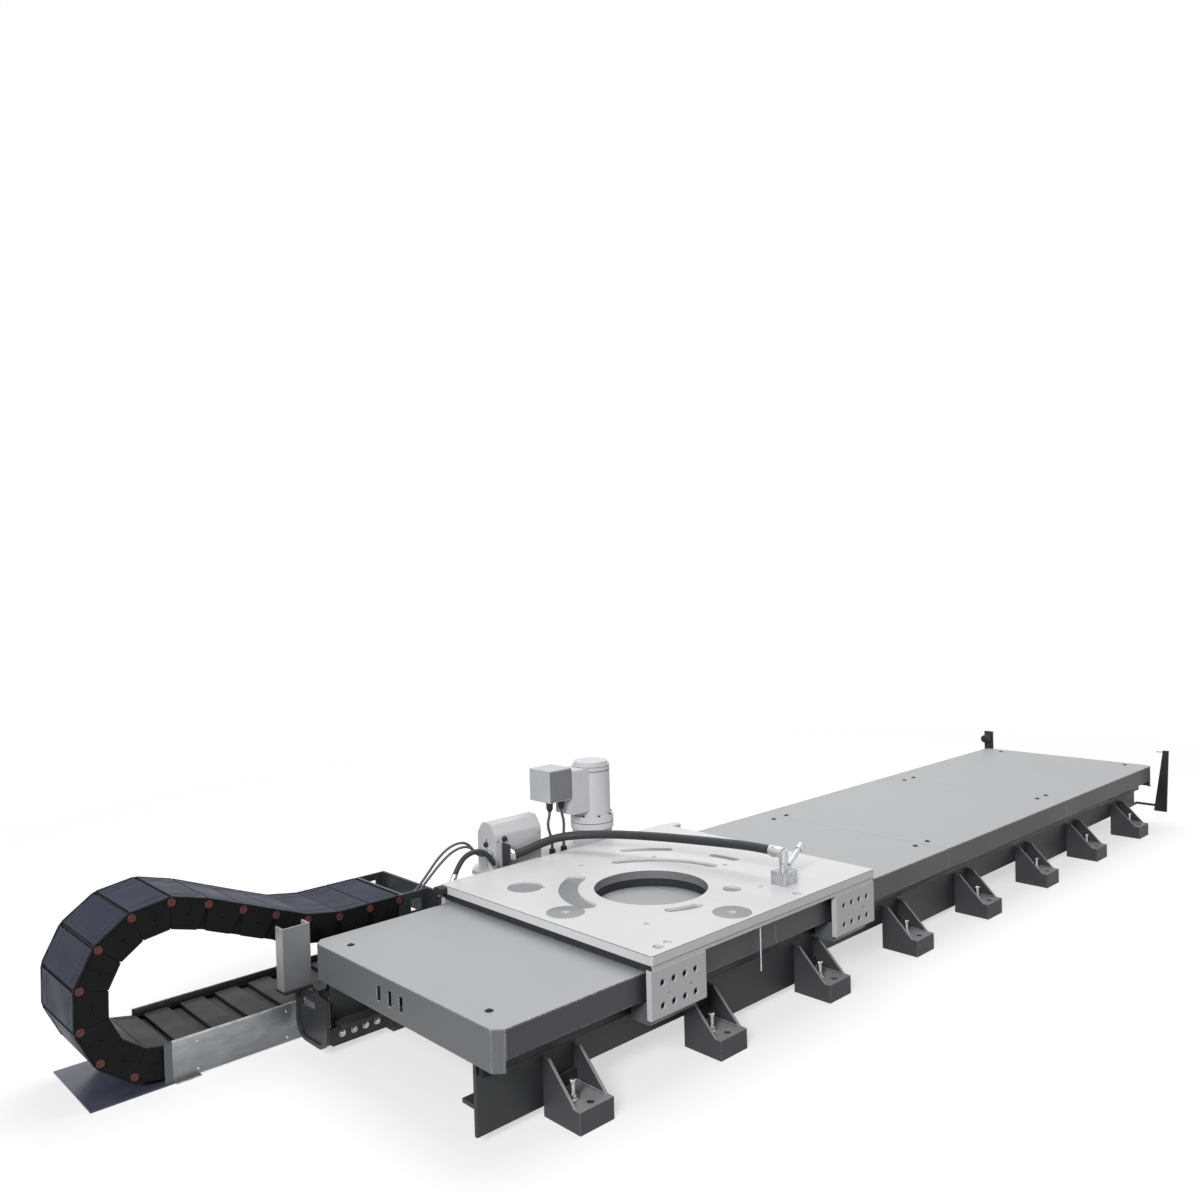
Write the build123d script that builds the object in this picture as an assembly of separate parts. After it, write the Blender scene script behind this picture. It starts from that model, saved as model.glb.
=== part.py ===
"""Robot linear track: a floor-bolted bed, a driven carriage for a robot foot and a cable chain beside it.

Millimetres. X runs along the track towards its far end, Y towards the cable chain, Z up.
The origin lies on the floor in the middle of the anchor holes. The carriage stands near the near (-X) end.
"""
import os
from math import atan2, cos, degrees, hypot, pi, radians, sin, tan

from build123d import *

# Bed
BED_LENGTH = 4800.0
BEAM_Y = 400.0
BEAM_WEB = 12.0
BEAM_TOP_FLANGE = 90.0
BEAM_FOOT_FLANGE = 60.0
BEAM_SHALLOW_Z = 102.0
BEAM_DEEP_Z = 30.0
FOOT_COUNT = 8
FOOT_WIDTH = 130.0
FOOT_HEIGHT = 65.0
FOOT_REACH = 155.0
FOOT_GUSSET = 10.0
GUSSET_SHOULDER = 24.0
GUSSET_TOP_Z = 172.0
ANCHOR_R = 11.0
ANCHOR_Y = 528.0
SCREW_R = 8.0
SCREW_Y = 487.0
SCREW_SHIFT_X = -30.0
SCREW_COLLAR = 8.0
SCREW_RISE = 55.0
CROSS_WIDTH = 80.0
CROSS_HEIGHT = 110.0
CROSS_WALL = 8.0

# Cover
COVER_WIDTH = 1000.0
COVER_TOP_Z = 350.0
SHEET = 4.0
SKIRT_DEPTH = 85.0
END_WALL_DEPTH = 120.0
COVER_SEAM = 1.0
COVER_CORNER = 28.0
SLOT_SIZE = (18.0, 48.0)
SLOT_PITCH = 62.0
SLOT_SHIFT = 28.0
COVER_SCREW_R = 9.0
COVER_SCREW_INSET = 25.0
COVER_SCREW_FROM_END = 70.0
COVER_SCREW_FROM_SEAM = 50.0
# Height of the screw heads in the open and under the carriage
COVER_SCREW_HEADS = (4.0, 2.5)

# Guideway and rack
RAIL_HEIGHT = 40.0
RAIL_DEPTH = 28.0
# Rail's upper half: distance out from the beam, drop below the rail's top
RAIL_PROFILE = [(0, 3), (9, 3), (15, 8), (21, 0), (26, 0), (28, 2)]
RAIL_Z = 220.0
RAIL_END_GAP = 5.0
RACK_MODULE = 10.0
RACK_PITCH_Y = 560.0
RACK_DEPTH = 55.0
RACK_BOTTOM_Z = 142.0
RACK_HEIGHT = 36.0
RACK_FROM_END = 40.0
DEDENDUM = 1.25
PRESSURE_ANGLE = 20.0
BACKLASH = 0.8
PINION_TEETH = 18
RACK_BRACKET = (120.0, 12.0)
RACK_BRACKET_BACK = 8.0
RACK_RIB_BACK = 20.0
RACK_BRACKET_FROM_END = 110.0

# Carriage
CAR_LENGTH = 1210.0
CAR_WIDTH = 1090.0
CAR_TOP_Z = 412.0
PLATE = 30.0
FRAME_PLATE = 16.0
FRAME_INSET = 5.0
FRAME_BORE_STEP = 14.0
PLATE_CORNER = 6.0
EDGE_BREAK = 3.0
CAR_REST = 543.0
BORE_R = 206.0
BORE_FROM_NEAR = 493.0
BORE_FROM_RIGHT = 476.0
FLANGE_PCD = 790.0
FLANGE_HOLES = 8
FLANGE_HOLE_R = 10.5
FLANGE_FIRST_ANGLE = 177.0
BRACKET_LENGTH = 247.0
BRACKET_THICK = 21.0
BRACKET_BOTTOM_Z = 214.0
BRACKET_GAP = 20.0
SCREW_ROWS_Z = (250.0, 320.0)
BRACKET_SCREW_R = 8.0
BRACKET_RECESS = (11.0, 10.0)
BRACKET_SCREW_HEAD = 7.0
BRACKET_SCREWS_PER_ROW = 4
SHOE_GAP = 0.4
SHOE_WALL = 14.0
SHOE_INSET = 24.0
SHOE_SLOPE = 14.0
SHOE_SHOULDER = 12.0

# Recesses in the carriage plate about the bore: radius, first angle, span, width, depth
RECESSES = [
    (300, 112, 64, 70, 9),
    (352, 2, 64, 44, 7),
    (508, 36, 20, 40, 7),
    (268, 238, 22, 40, 9),
    (474, 0, 12, 34, 7),
]
# Round recesses about the bore: radius, angle, diameter, depth
SPOT_FACES = [(460, 132, 130, 6), (292, 307, 66, 9), (600, 226, 34, 9), (560, 229, 26, 9), (520, 303, 30, 9)]

# Drive
MOTOR_FROM_NEAR = 872.0
MOTOR_R = 82.0
MOTOR_HEIGHT = 326.0
MOTOR_FLAT = 77.0
MOTOR_FLAT_HALF = 55.0
# Step out and height of the motor's base, step in and height of its cap
MOTOR_BASE = (5.0, 60.0)
MOTOR_CAP = (8.0, 12.0)
# Step out, lower and upper height of the ring round the motor
MOTOR_RING = (12.0, 68.0, 125.0)
MOTOR_FLAT_LIFT = 25.0
MOTOR_FLAT_DROP = 20.0
SHELF = 16.0
SHELF_FROM_NEAR = 250.0
STRIP_FROM_NEAR = 60.0
STRIP_WIDTH = 55.0
SHELF_TO = 1050.0
SHELF_WIDTH = 205.0
SHELF_CORNER = 60.0
GEARBOX_R = 72.0
# Height and step out of the gearbox's flange, height and step in of its nose
GEARBOX_FLANGE = (18.0, 10.0)
GEARBOX_NOSE = (30.0, 16.0)
GEARBOX_LIFT = 14.0
SHAFT_R = 20.0
SHAFT_FIT = 0.05
SHAFT_PAST = 4.0
SHAFT_TOP_DROP = 40.0
PINION_LIFT = 0.5

# Cable chain
CHAIN_PITCH = 121.5
CHAIN_LINKS = 32
CHAIN_BEND_R = 265.0
CHAIN_NEAR_Y = 599.0
CHAIN_FAR_Y = 925.0
CHAIN_SIDE = 8.0
CHAIN_OUT = 19.0
CHAIN_IN = 81.0
LINK_GAP = 0.25
LINK_OUTER_CUT = 2.6
LINK_INNER_CUT = 20.5
LID_CUT = 6.0
LID_THICK = 5.0
CROSSBAR_CUT = 21.0
CROSSBAR_THICK = 9.0
CHAIN_BOTTOM_Z = 31.0
LOOP_FROM_NEAR = -439.0
CHAIN_SLOPE = 22.0
CHAIN_BLEND_R = 450.0
TOW_FROM_NEAR = 397.0
UPPER_FLAT = 229.0
TOW_LENGTH = 125.0
TOW_SHEET = 10.0
# Window in the tow bracket's cheeks: first and last X from the pin, lower and upper edge
TOW_WINDOW = (50.0, 95.0, 28.0, 73.0)
TOW_BAR_LIFT = 50.0
TOW_TIE_INSET = 8.0
TOW_ARM_LAP = 170.0
PIN_R = 17.0
PIN_HEAD = 4.0
TROUGH_NEAR_Y = 588.0
TROUGH_FAR_Y = 940.0
TROUGH_HEIGHT = 131.0
TROUGH_SHEET = 3.0
TROUGH_LIFT = 4.0
TROUGH_START = -441.0
TROUGH_PAST = 30.0
STRAP_WIDTH = 60.0
STRAP_PAST = 22.0
FLOOR_PLATE_LENGTH = 268.0
FLOOR_PLATE_LAP = 25.0
FLOOR_PLATE_SIDE = 6.0

# Stops and end pieces, heights from the floor, places along X from the bed's nearer end
BUFFER_LENGTH = 30.0
BUFFER_WIDTH = 45.0
BUFFER_DROP = 4.0
BUFFER_ROUND = 6.0
STRIKER_REACH = 70.0
STRIKER_CHAMFER = 4.0
ARM_X = -40.0
ARM_THICK = 12.0
ARM_INNER = 50.0
ARM_OUTER = 160.0
ARM_LOW_Z = 30.0
ARM_TOP_Z = 197.0
ARM_ROUND = 62.0
ARM_RIM = 14.0
ARM_PANEL = 5.0
# Window in the arm: from its inner edge, width, from its top, height
ARM_WINDOW = (85.0, 90.0, 26.0, 26.0)
ARM_FLANGE_TO = 180.0
ARM_FLANGE_Z = (44.0, 96.0)
ARM_BOLT_X = (29.0, 72.0, 115.0, 158.0)
ARM_BOLT_R = 9.0
ARM_BOLT_HEAD = 8.0
TABLE_WIDTH = 56.0
TABLE_PAST = 6.0
TABLE_THICK = 8.0
POST_TOP_Z = 412.0
POST_FACE = -4.0
POST_DEPTH = 98.0
POST_WIDTH = 50.0
POST_PAST = 2.0
POST_SHEET = 6.0
FAR_STOP = 66.0
FAR_BUFFER = 60.0
FAR_BUFFER_R = 25.0
FAR_BUFFER_ROUND = 10.0
FAR_BUFFER_Z = 395.0
FAR_BUFFER_SHIFT = 9.0
FAR_ARM_Z = (110.0, 122.0)
FAR_STOP_TOP_Z = 440.0
FAR_STOP_PLATE = 12.0
FAR_STOP_SIDES = (-30.0, 26.0)
FAR_TONGUE = 40.0
FAR_TONGUE_Z = (104.0, 140.0)
FAR_STRUT = (60.0, 230.0, 10.0)
FAR_POST_X = (46.0, 56.0)
FAR_POST_BASE = (92.0, 160.0, 78.0)
FAR_POST_TOP = (145.0, 175.0, 436.0)
FAR_POST_ARM_Z = (104.0, 116.0)
FAR_POST_ARM = 8.0
SENSOR_R = 5.0
SENSOR_LENGTH = 34.0
SENSOR_Z = 428.0

# Cables and hoses, places from the bed's near end along X and from its middle along Y
CONNECTOR_X = 873.0
CONNECTOR_Y = 570.0
CONNECTOR_HEIGHT = 110.0
CONNECTOR_SHEET = 6.0
HOSE_D = 34.0
HOSE_START_Z = 440.0
HOSE_END_Z = 522.0
SHORT_HOSE_D = 20.0
SHORT_HOSE_Y = 576.0
SHORT_HOSE_ELBOWS = (616.0, 833.0)
ELBOW_TILT = 30.0
ELBOW_LENGTH = 30.0
SIGNAL_D = 10.0
SIGNAL_Y = (620.0, 642.0)
SIGNAL_START_Z = 365.0
SIGNAL_END_Z = 450.0
MOTOR_CABLE_D = 12.0
MOTOR_CABLE_SHIFTS = (-262.0, -198.0)
MOTOR_CABLE_LEAN = 8.0
GLAND = 24.0
GLAND_WALL = 5.0
JUNCTION_FROM_NEAR = 300.0
JUNCTION_SIZE = (235.0, 116.0, 185.0)
JUNCTION_SHIFT = 5.0
JUNCTION_SHOULDER = (32.0, 45.0)
JUNCTION_ROUND = 20.0
MOTOR_BOX = (125.0, 134.0, 133.0)
MOTOR_BOX_SHIFT = 13.0
MOTOR_BOX_DROP = 3.0
MOTOR_BOX_ROUND = 8.0
MOTOR_CABLE_BACK = 25.0
VALVE_X = 1388.0
VALVE_Y = -400.0
VALVE_SIZE = (80.0, 66.0, 48.0)
ELBOW_R = 20.0
ELBOW_REACH = 58.0
ELBOW_NECK = 4.0
VALVE_CHAMFER = 5.0
# Leaning branch on the media block: shift, tilt, radius, length, and the radius and length of its end
BRANCH = (28.0, 55.0, 10.0, 76.0, 15.0, 24.0)
PLUG = (16.0, 9.0, 26.0)
# Thin rod: place from the carriage's near end, distance from the skirt, lower end, radius
ROD = (547.0, 20.0, 208.0, 3.0)

NEAR = -BED_LENGTH / 2
FAR = BED_LENGTH / 2
SKIRT_Y = COVER_WIDTH / 2
COVER_UNDER_Z = COVER_TOP_Z - SHEET
CAR_NEAR = NEAR + CAR_REST
CAR_FAR = CAR_NEAR + CAR_LENGTH
CAR_Y = CAR_WIDTH / 2
PLATE_UNDER_Z = CAR_TOP_Z - PLATE
FRAME_UNDER_Z = PLATE_UNDER_Z - FRAME_PLATE
BORE_X = CAR_NEAR + BORE_FROM_NEAR
BORE_Y = BORE_FROM_RIGHT - CAR_Y
BRACKET_Y = SKIRT_Y + BRACKET_GAP
PITCH_R = RACK_MODULE * PINION_TEETH / 2
MOTOR_X = CAR_NEAR + MOTOR_FROM_NEAR
MOTOR_Y = RACK_PITCH_Y + PITCH_R
SHELF_TOP_Z = FRAME_UNDER_Z + SHELF
SHELF_Y = CAR_Y + SHELF_WIDTH
FOOT_PITCH = BED_LENGTH / FOOT_COUNT
FEET_X = [NEAR + FOOT_PITCH * (n + 0.5) for n in range(FOOT_COUNT)]
RACK_PITCH = pi * RACK_MODULE
RACK_TEETH = int((BED_LENGTH - 2 * RACK_FROM_END) / RACK_PITCH)
LOOP_X = NEAR + LOOP_FROM_NEAR
TOW_X = NEAR + TOW_FROM_NEAR
BAR_X = TOW_X + 2 * TOW_SHEET
JUNCTION_X = CAR_NEAR + JUNCTION_FROM_NEAR
MOTOR_BOX_TOP = CAR_TOP_Z + MOTOR_HEIGHT - MOTOR_BOX_DROP
MOTOR_BOX_LOW = MOTOR_BOX_TOP - MOTOR_BOX[2]
MOTOR_CABLE_Y = MOTOR_Y - MOTOR_CABLE_BACK
LOOP_Z = CHAIN_BOTTOM_Z + CHAIN_BEND_R
BRACKET_FACE_Y = BRACKET_Y + BRACKET_THICK
BEAM_INNER_Y = BEAM_Y - BEAM_WEB
FAR_STOP_X = FAR + FAR_STOP + FAR_BUFFER
FAR_STOP_Y = CAR_Y + FAR_BUFFER_SHIFT
ARM_INNER_Y = BEAM_Y - ARM_INNER
ARM_OUTER_Y = BEAM_Y + ARM_OUTER


def block(x0, x1, y0, y1, z0, z1):
    """A box between two corners."""
    return Pos((x0 + x1) / 2, (y0 + y1) / 2, (z0 + z1) / 2) * Box(x1 - x0, y1 - y0, z1 - z0)


def along_x(outline, x0, x1):
    """A (Y, Z) outline pulled along X."""
    return extrude(Plane.YZ.offset(x0) * Polygon(*outline, align=None), x1 - x0, dir=(1, 0, 0))


def along_y(outline, y0, y1):
    """An (X, Z) outline pulled along Y."""
    return extrude(Plane.XZ.offset(-y0) * Polygon(*outline, align=None), y1 - y0, dir=(0, 1, 0))


def along_z(outline, z0, z1):
    """An (X, Y) outline pulled along Z."""
    return extrude(Plane.XY.offset(z0) * Polygon(*outline, align=None), z1 - z0, dir=(0, 0, 1))


def peg(x, y, z0, z1, radius):
    """An upright cylinder."""
    return Pos(x, y, (z0 + z1) / 2) * Cylinder(radius, z1 - z0)


def other_side(shape):
    """The same piece on the other side of the track."""
    return mirror(shape, about=Plane.XZ)


def side_beam():
    """Right-hand beam: a web whose lower edge drops at every second gap between the feet, and two flanges."""
    half = FOOT_WIDTH / 2
    edge = [(NEAR, BEAM_DEEP_Z), (FEET_X[0] - half, BEAM_DEEP_Z), (FEET_X[0] - half, BEAM_SHALLOW_Z)]
    for first, second in zip(FEET_X[1::2], FEET_X[2::2]):
        edge += [(first + half, BEAM_SHALLOW_Z), (first + half, BEAM_DEEP_Z)]
        edge += [(second - half, BEAM_DEEP_Z), (second - half, BEAM_SHALLOW_Z)]
    wall_z = COVER_TOP_Z - END_WALL_DEPTH
    edge += [(FAR, BEAM_SHALLOW_Z), (FAR, wall_z), (FAR - SHEET, wall_z), (FAR - SHEET, COVER_UNDER_Z)]
    edge += [(NEAR + SHEET, COVER_UNDER_Z), (NEAR + SHEET, wall_z), (NEAR, wall_z)]
    web = along_y(edge, -BEAM_Y, -BEAM_Y + BEAM_WEB)
    inner = -BEAM_Y + BEAM_WEB
    x0, x1 = NEAR + SHEET, FAR - SHEET
    top = block(x0, x1, inner, inner + BEAM_TOP_FLANGE, COVER_UNDER_Z - BEAM_WEB, COVER_UNDER_Z)
    foot = block(x0, x1, inner, inner + BEAM_FOOT_FLANGE, BEAM_SHALLOW_Z, BEAM_SHALLOW_Z + BEAM_WEB)
    return web + top + foot


def cross_members():
    """Channels between the two beams, one at each pair of feet, standing on the beams' lower flanges."""
    low = BEAM_SHALLOW_Z + BEAM_WEB
    high = low + CROSS_HEIGHT
    half = CROSS_WIDTH / 2
    reach = BEAM_Y - BEAM_WEB
    members = []
    for x in FEET_X:
        outline = [(x - half, low), (x + half, low), (x + half, low + CROSS_WALL)]
        outline += [(x - half + CROSS_WALL, low + CROSS_WALL), (x - half + CROSS_WALL, high - CROSS_WALL)]
        outline += [(x + half, high - CROSS_WALL), (x + half, high), (x - half, high)]
        members.append(along_y(outline, -reach, reach))
    return members


def foot(x):
    """One right-hand floor foot: a block with an anchor hole, and two gussets to the web."""
    half = FOOT_WIDTH / 2
    outer = -BEAM_Y - FOOT_REACH
    body = block(x - half, x + half, outer, -BEAM_Y, 0, FOOT_HEIGHT)
    body -= peg(x, -ANCHOR_Y, -1, FOOT_HEIGHT + 1, ANCHOR_R)
    gusset = [(-BEAM_Y, FOOT_HEIGHT), (-BEAM_Y, GUSSET_TOP_Z), (-BEAM_Y - GUSSET_SHOULDER, GUSSET_TOP_Z)]
    gusset.append((outer + GUSSET_SHOULDER, FOOT_HEIGHT))
    for side in (x - half, x + half - FOOT_GUSSET):
        body += along_x(gusset, side, side + FOOT_GUSSET)
    return body


def levelling_screw(x, y):
    """A hexagon-headed levelling screw on a collar that seats on the foot."""
    top = FOOT_HEIGHT + SCREW_RISE
    collar = peg(x, y, FOOT_HEIGHT, FOOT_HEIGHT + SCREW_COLLAR, SCREW_R * 2)
    shank = peg(x, y, FOOT_HEIGHT + SCREW_COLLAR, top, SCREW_R)
    head = extrude(Plane.XY.offset(top) * Pos(x, y) * RegularPolygon(SCREW_R * 1.5, 6), SCREW_R)
    return collar + shank + head


def guide_rail():
    """Right-hand guide rail with waisted flanks, screwed to the beam's outer face under the cover's edge."""
    upper = [(-BEAM_Y - out, RAIL_HEIGHT / 2 - drop) for out, drop in RAIL_PROFILE]
    outline = upper + [(y, -z) for y, z in reversed(upper)]
    return along_x([(y, RAIL_Z + z) for y, z in outline], NEAR + RAIL_END_GAP, FAR - RAIL_END_GAP)


def toothed_rack():
    """Rack with straight 20 degree flanks, one tooth outline repeated along the bed."""
    pitch = RACK_PITCH
    lean = tan(radians(PRESSURE_ANGLE))
    tip = RACK_PITCH_Y + RACK_MODULE
    root = RACK_PITCH_Y - DEDENDUM * RACK_MODULE
    wide = pitch / 4 - BACKLASH / 2 + DEDENDUM * RACK_MODULE * lean
    narrow = pitch / 4 - BACKLASH / 2 - RACK_MODULE * lean
    start = MOTOR_X - pitch * round((MOTOR_X - NEAR - RACK_FROM_END) / pitch)
    outline = [(start - pitch / 2, RACK_PITCH_Y - RACK_DEPTH), (start - pitch / 2, root)]
    for n in range(RACK_TEETH):
        x = start + n * pitch
        outline += [(x - wide, root), (x - narrow, tip), (x + narrow, tip), (x + wide, root)]
    end = start + (RACK_TEETH - 0.5) * pitch
    outline += [(end, root), (end, RACK_PITCH_Y - RACK_DEPTH)]
    return along_z(outline, RACK_BOTTOM_Z, RACK_BOTTOM_Z + RACK_HEIGHT)


def rack_brackets():
    """Ribbed shelves from the left-hand beam that carry the rack between the feet."""
    length, wall = RACK_BRACKET
    reach = RACK_PITCH_Y - DEDENDUM * RACK_MODULE - RACK_BRACKET_BACK
    first, last = NEAR + RACK_BRACKET_FROM_END, FAR - RACK_BRACKET_FROM_END
    brackets = []
    low = RACK_BOTTOM_Z - wall
    for n in range(FOOT_COUNT + 1):
        x = min(max(NEAR + n * FOOT_PITCH, first), last)
        shelf = block(x - length / 2, x + length / 2, BEAM_Y, reach, low, RACK_BOTTOM_Z)
        rib = [(BEAM_Y, BEAM_SHALLOW_Z), (BEAM_Y, low), (reach - RACK_RIB_BACK, low)]
        brackets.append(shelf + along_x(rib, x - wall / 2, x + wall / 2))
    return brackets


def cover_section(x0, x1):
    """A folded sheet over the beams with a skirt down each side."""
    low = COVER_TOP_Z - SKIRT_DEPTH
    outer = [(-SKIRT_Y, low), (-SKIRT_Y, COVER_TOP_Z), (SKIRT_Y, COVER_TOP_Z), (SKIRT_Y, low)]
    inner = [(SKIRT_Y - SHEET, low), (SKIRT_Y - SHEET, COVER_UNDER_Z), (SHEET - SKIRT_Y, COVER_UNDER_Z)]
    return along_x(outer + inner + [(SHEET - SKIRT_Y, low)], x0, x1)


def end_cover(x0, x1, outward):
    """An end section: its corners are cut at 45 degrees and a deeper wall closes the end."""
    shell = cover_section(x0, x1)
    end = x1 if outward > 0 else x0
    cut = COVER_CORNER
    for side in (-1, 1):
        corner = [(end, side * SKIRT_Y), (end - outward * cut, side * SKIRT_Y), (end, side * (SKIRT_Y - cut))]
        shell -= along_z(corner, 0, COVER_TOP_Z + 1)
    deep = COVER_TOP_Z - END_WALL_DEPTH
    flat = SKIRT_Y - cut
    slant = SHEET * tan(radians(22.5))
    ring = [(end, -flat), (end, flat), (end - outward * cut, SKIRT_Y)]
    ring += [(end - outward * cut, SKIRT_Y - SHEET - slant), (end - outward * SHEET, flat - slant)]
    ring += [(end - outward * SHEET, slant - flat), (end - outward * cut, SHEET + slant - SKIRT_Y)]
    ring += [(end - outward * cut, -SKIRT_Y)]
    return shell + along_z(ring, deep, COVER_UNDER_Z)


def near_cover(x0, x1):
    """The near end section, with three upright vent slots in its end wall."""
    shell = end_cover(x0, x1, -1)
    width, height = SLOT_SIZE
    middle = COVER_TOP_Z - END_WALL_DEPTH / 2
    low, high = middle - height / 2, middle + height / 2
    for n in (-1, 0, 1):
        y = SLOT_SHIFT + n * SLOT_PITCH
        shell -= block(x0 - 1, x0 + SHEET + 1, y - width / 2, y + width / 2, low, high)
    return shell


def cover_screws(seams):
    """Round heads that hold the cover to the beams' top flanges at the ends and beside each seam."""
    places = [NEAR + COVER_SCREW_FROM_END, FAR - COVER_SCREW_FROM_END]
    for seam in seams:
        places += [seam - COVER_SCREW_FROM_SEAM, seam + COVER_SCREW_FROM_SEAM]
    in_the_open, under_carriage = COVER_SCREW_HEADS
    heads = []
    for x in places:
        tall = under_carriage if CAR_NEAR < x < CAR_FAR else in_the_open
        for y in (COVER_SCREW_INSET - BEAM_Y, BEAM_Y - COVER_SCREW_INSET):
            heads.append(peg(x, y, COVER_TOP_Z, COVER_TOP_Z + tall, COVER_SCREW_R))
    return heads


def carriage_plate():
    """Top plate: the robot's bore and bolt circle, and the recesses of other foot patterns."""
    plate = block(CAR_NEAR, CAR_FAR, -CAR_Y, CAR_Y, PLATE_UNDER_Z, CAR_TOP_Z)
    plate = chamfer(plate.edges().filter_by(Axis.Z), PLATE_CORNER)
    plate = chamfer(plate.faces().sort_by(Axis.Z)[-1].edges(), EDGE_BREAK)
    plate -= peg(BORE_X, BORE_Y, 0, CAR_TOP_Z + 1, BORE_R)
    for x, y in flange_holes():
        plate -= peg(x, y, PLATE_UNDER_Z - 1, CAR_TOP_Z + 1, FLANGE_HOLE_R)
    for radius, start, span, width, depth in RECESSES:
        plate -= arc_pocket(radius, start, span, width, depth)
    for radius, angle, size, depth in SPOT_FACES:
        x = BORE_X + radius * cos(radians(angle))
        y = BORE_Y + radius * sin(radians(angle))
        plate -= peg(x, y, CAR_TOP_Z - depth, CAR_TOP_Z + 1, size / 2)
    return plate


def flange_holes():
    """Centres of the tapped holes on the robot's bolt circle."""
    places = []
    for n in range(FLANGE_HOLES):
        angle = radians(FLANGE_FIRST_ANGLE + 360 / FLANGE_HOLES * n)
        places.append((BORE_X + FLANGE_PCD / 2 * cos(angle), BORE_Y + FLANGE_PCD / 2 * sin(angle)))
    return places


def arc_pocket(radius, start, span, width, depth):
    """A round-ended slot along an arc about the bore."""
    def place(r, angle):
        return (BORE_X + r * cos(radians(angle)), BORE_Y + r * sin(radians(angle)))

    inner, outer = radius - width / 2, radius + width / 2
    middle, end = start + span / 2, start + span
    tip = degrees(width / 2 / radius)
    lines = ThreePointArc(place(outer, start), place(outer, middle), place(outer, end))
    lines += ThreePointArc(place(outer, end), place(radius, end + tip), place(inner, end))
    lines += ThreePointArc(place(inner, end), place(inner, middle), place(inner, start))
    lines += ThreePointArc(place(inner, start), place(radius, start - tip), place(outer, start))
    return extrude(Plane.XY.offset(CAR_TOP_Z - depth) * make_face(lines), depth + 1, dir=(0, 0, 1))


def carriage_frame():
    """Second plate under the top plate, a little smaller all round."""
    inset = FRAME_INSET
    frame = block(CAR_NEAR + inset, CAR_FAR - inset, inset - CAR_Y, CAR_Y - inset, FRAME_UNDER_Z, PLATE_UNDER_Z)
    frame -= peg(BORE_X, BORE_Y, 0, CAR_TOP_Z, BORE_R + FRAME_BORE_STEP)
    for x, y in flange_holes():
        frame -= peg(x, y, 0, CAR_TOP_Z, FLANGE_HOLE_R)
    return frame


def side_bracket(x0, x1):
    """Right-hand bracket from the carriage frame down past the skirt, with two rows of screw recesses."""
    face = -BRACKET_FACE_Y
    body = block(x0, x1, face, -BRACKET_Y, BRACKET_BOTTOM_Z, FRAME_UNDER_Z)
    body = chamfer(body.edges().filter_by(Axis.X).sort_by(Axis.Y)[:2], EDGE_BREAK)
    radius, depth = BRACKET_RECESS
    for z in SCREW_ROWS_Z:
        for x in bracket_screw_x(x0, x1):
            body -= Pos(x, face, z) * Rot(90, 0, 0) * Cylinder(radius, 2 * depth)
    return body


def bracket_screw_x(x0, x1):
    """Evenly spaced screw places along a bracket."""
    step = (x1 - x0) / (BRACKET_SCREWS_PER_ROW + 1)
    return [x0 + step * (n + 1) for n in range(BRACKET_SCREWS_PER_ROW)]


def bracket_screws(x0, x1):
    """Socket heads at the bottom of the bracket's recesses."""
    seat = BRACKET_RECESS[1] - BRACKET_FACE_Y
    tall = BRACKET_SCREW_HEAD
    heads = []
    for z in SCREW_ROWS_Z:
        for x in bracket_screw_x(x0, x1):
            heads.append(Pos(x, seat - tall / 2, z) * Rot(90, 0, 0) * Cylinder(BRACKET_SCREW_R, tall))
    return heads


def guide_shoe(x0, x1):
    """Right-hand shoe: a rounded block under the skirt whose groove runs on the rail."""
    half = RAIL_HEIGHT / 2 + SHOE_GAP
    tip = -BEAM_Y - RAIL_DEPTH - SHOE_GAP
    wall = SHOE_WALL
    top = RAIL_Z + half + wall
    low = RAIL_Z - half - wall
    back = -BRACKET_Y
    mouth = -BEAM_Y - 1
    outline = [(back, BRACKET_BOTTOM_Z - SHOE_SLOPE), (back + SHOE_SLOPE, low)]
    outline += [(mouth, low), (mouth, RAIL_Z - half)]
    outline += [(tip, RAIL_Z - half), (tip, RAIL_Z + half), (mouth, RAIL_Z + half), (mouth, top)]
    outline += [(back + SHOE_SHOULDER, top), (back, top - SHOE_SHOULDER)]
    return along_x(outline, x0, x1)


def side_shelf():
    """Shelf for the drive and the terminal box on the left, with a strip for the short hose."""
    x0 = CAR_NEAR + SHELF_FROM_NEAR
    x1 = CAR_NEAR + SHELF_TO
    strip = CAR_NEAR + STRIP_FROM_NEAR
    inner = CAR_Y - FRAME_INSET
    cut = SHELF_CORNER
    outline = [(strip, inner), (x1, inner), (x1, SHELF_Y - cut), (x1 - cut, SHELF_Y), (x0 + cut, SHELF_Y)]
    outline += [(x0, SHELF_Y - cut), (x0, CAR_Y + STRIP_WIDTH), (strip, CAR_Y + STRIP_WIDTH)]
    shelf = along_z(outline, FRAME_UNDER_Z, SHELF_TOP_Z)
    return shelf - peg(MOTOR_X, MOTOR_Y, 0, COVER_TOP_Z * 2, SHAFT_R * 2)


def gearbox():
    """Planetary gearbox hanging under the shelf: a stepped round housing with the output shaft's bore."""
    top, low = FRAME_UNDER_Z, RACK_BOTTOM_Z + RACK_HEIGHT + GEARBOX_LIFT
    flange, flange_step = GEARBOX_FLANGE
    nose, nose_step = GEARBOX_NOSE
    body = peg(MOTOR_X, MOTOR_Y, top - flange, top, GEARBOX_R + flange_step)
    body += peg(MOTOR_X, MOTOR_Y, low + nose, top - flange, GEARBOX_R)
    body += peg(MOTOR_X, MOTOR_Y, low, low + nose, GEARBOX_R - nose_step)
    return body - peg(MOTOR_X, MOTOR_Y, low - 1, top - nose, SHAFT_R + SHAFT_FIT)


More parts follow.
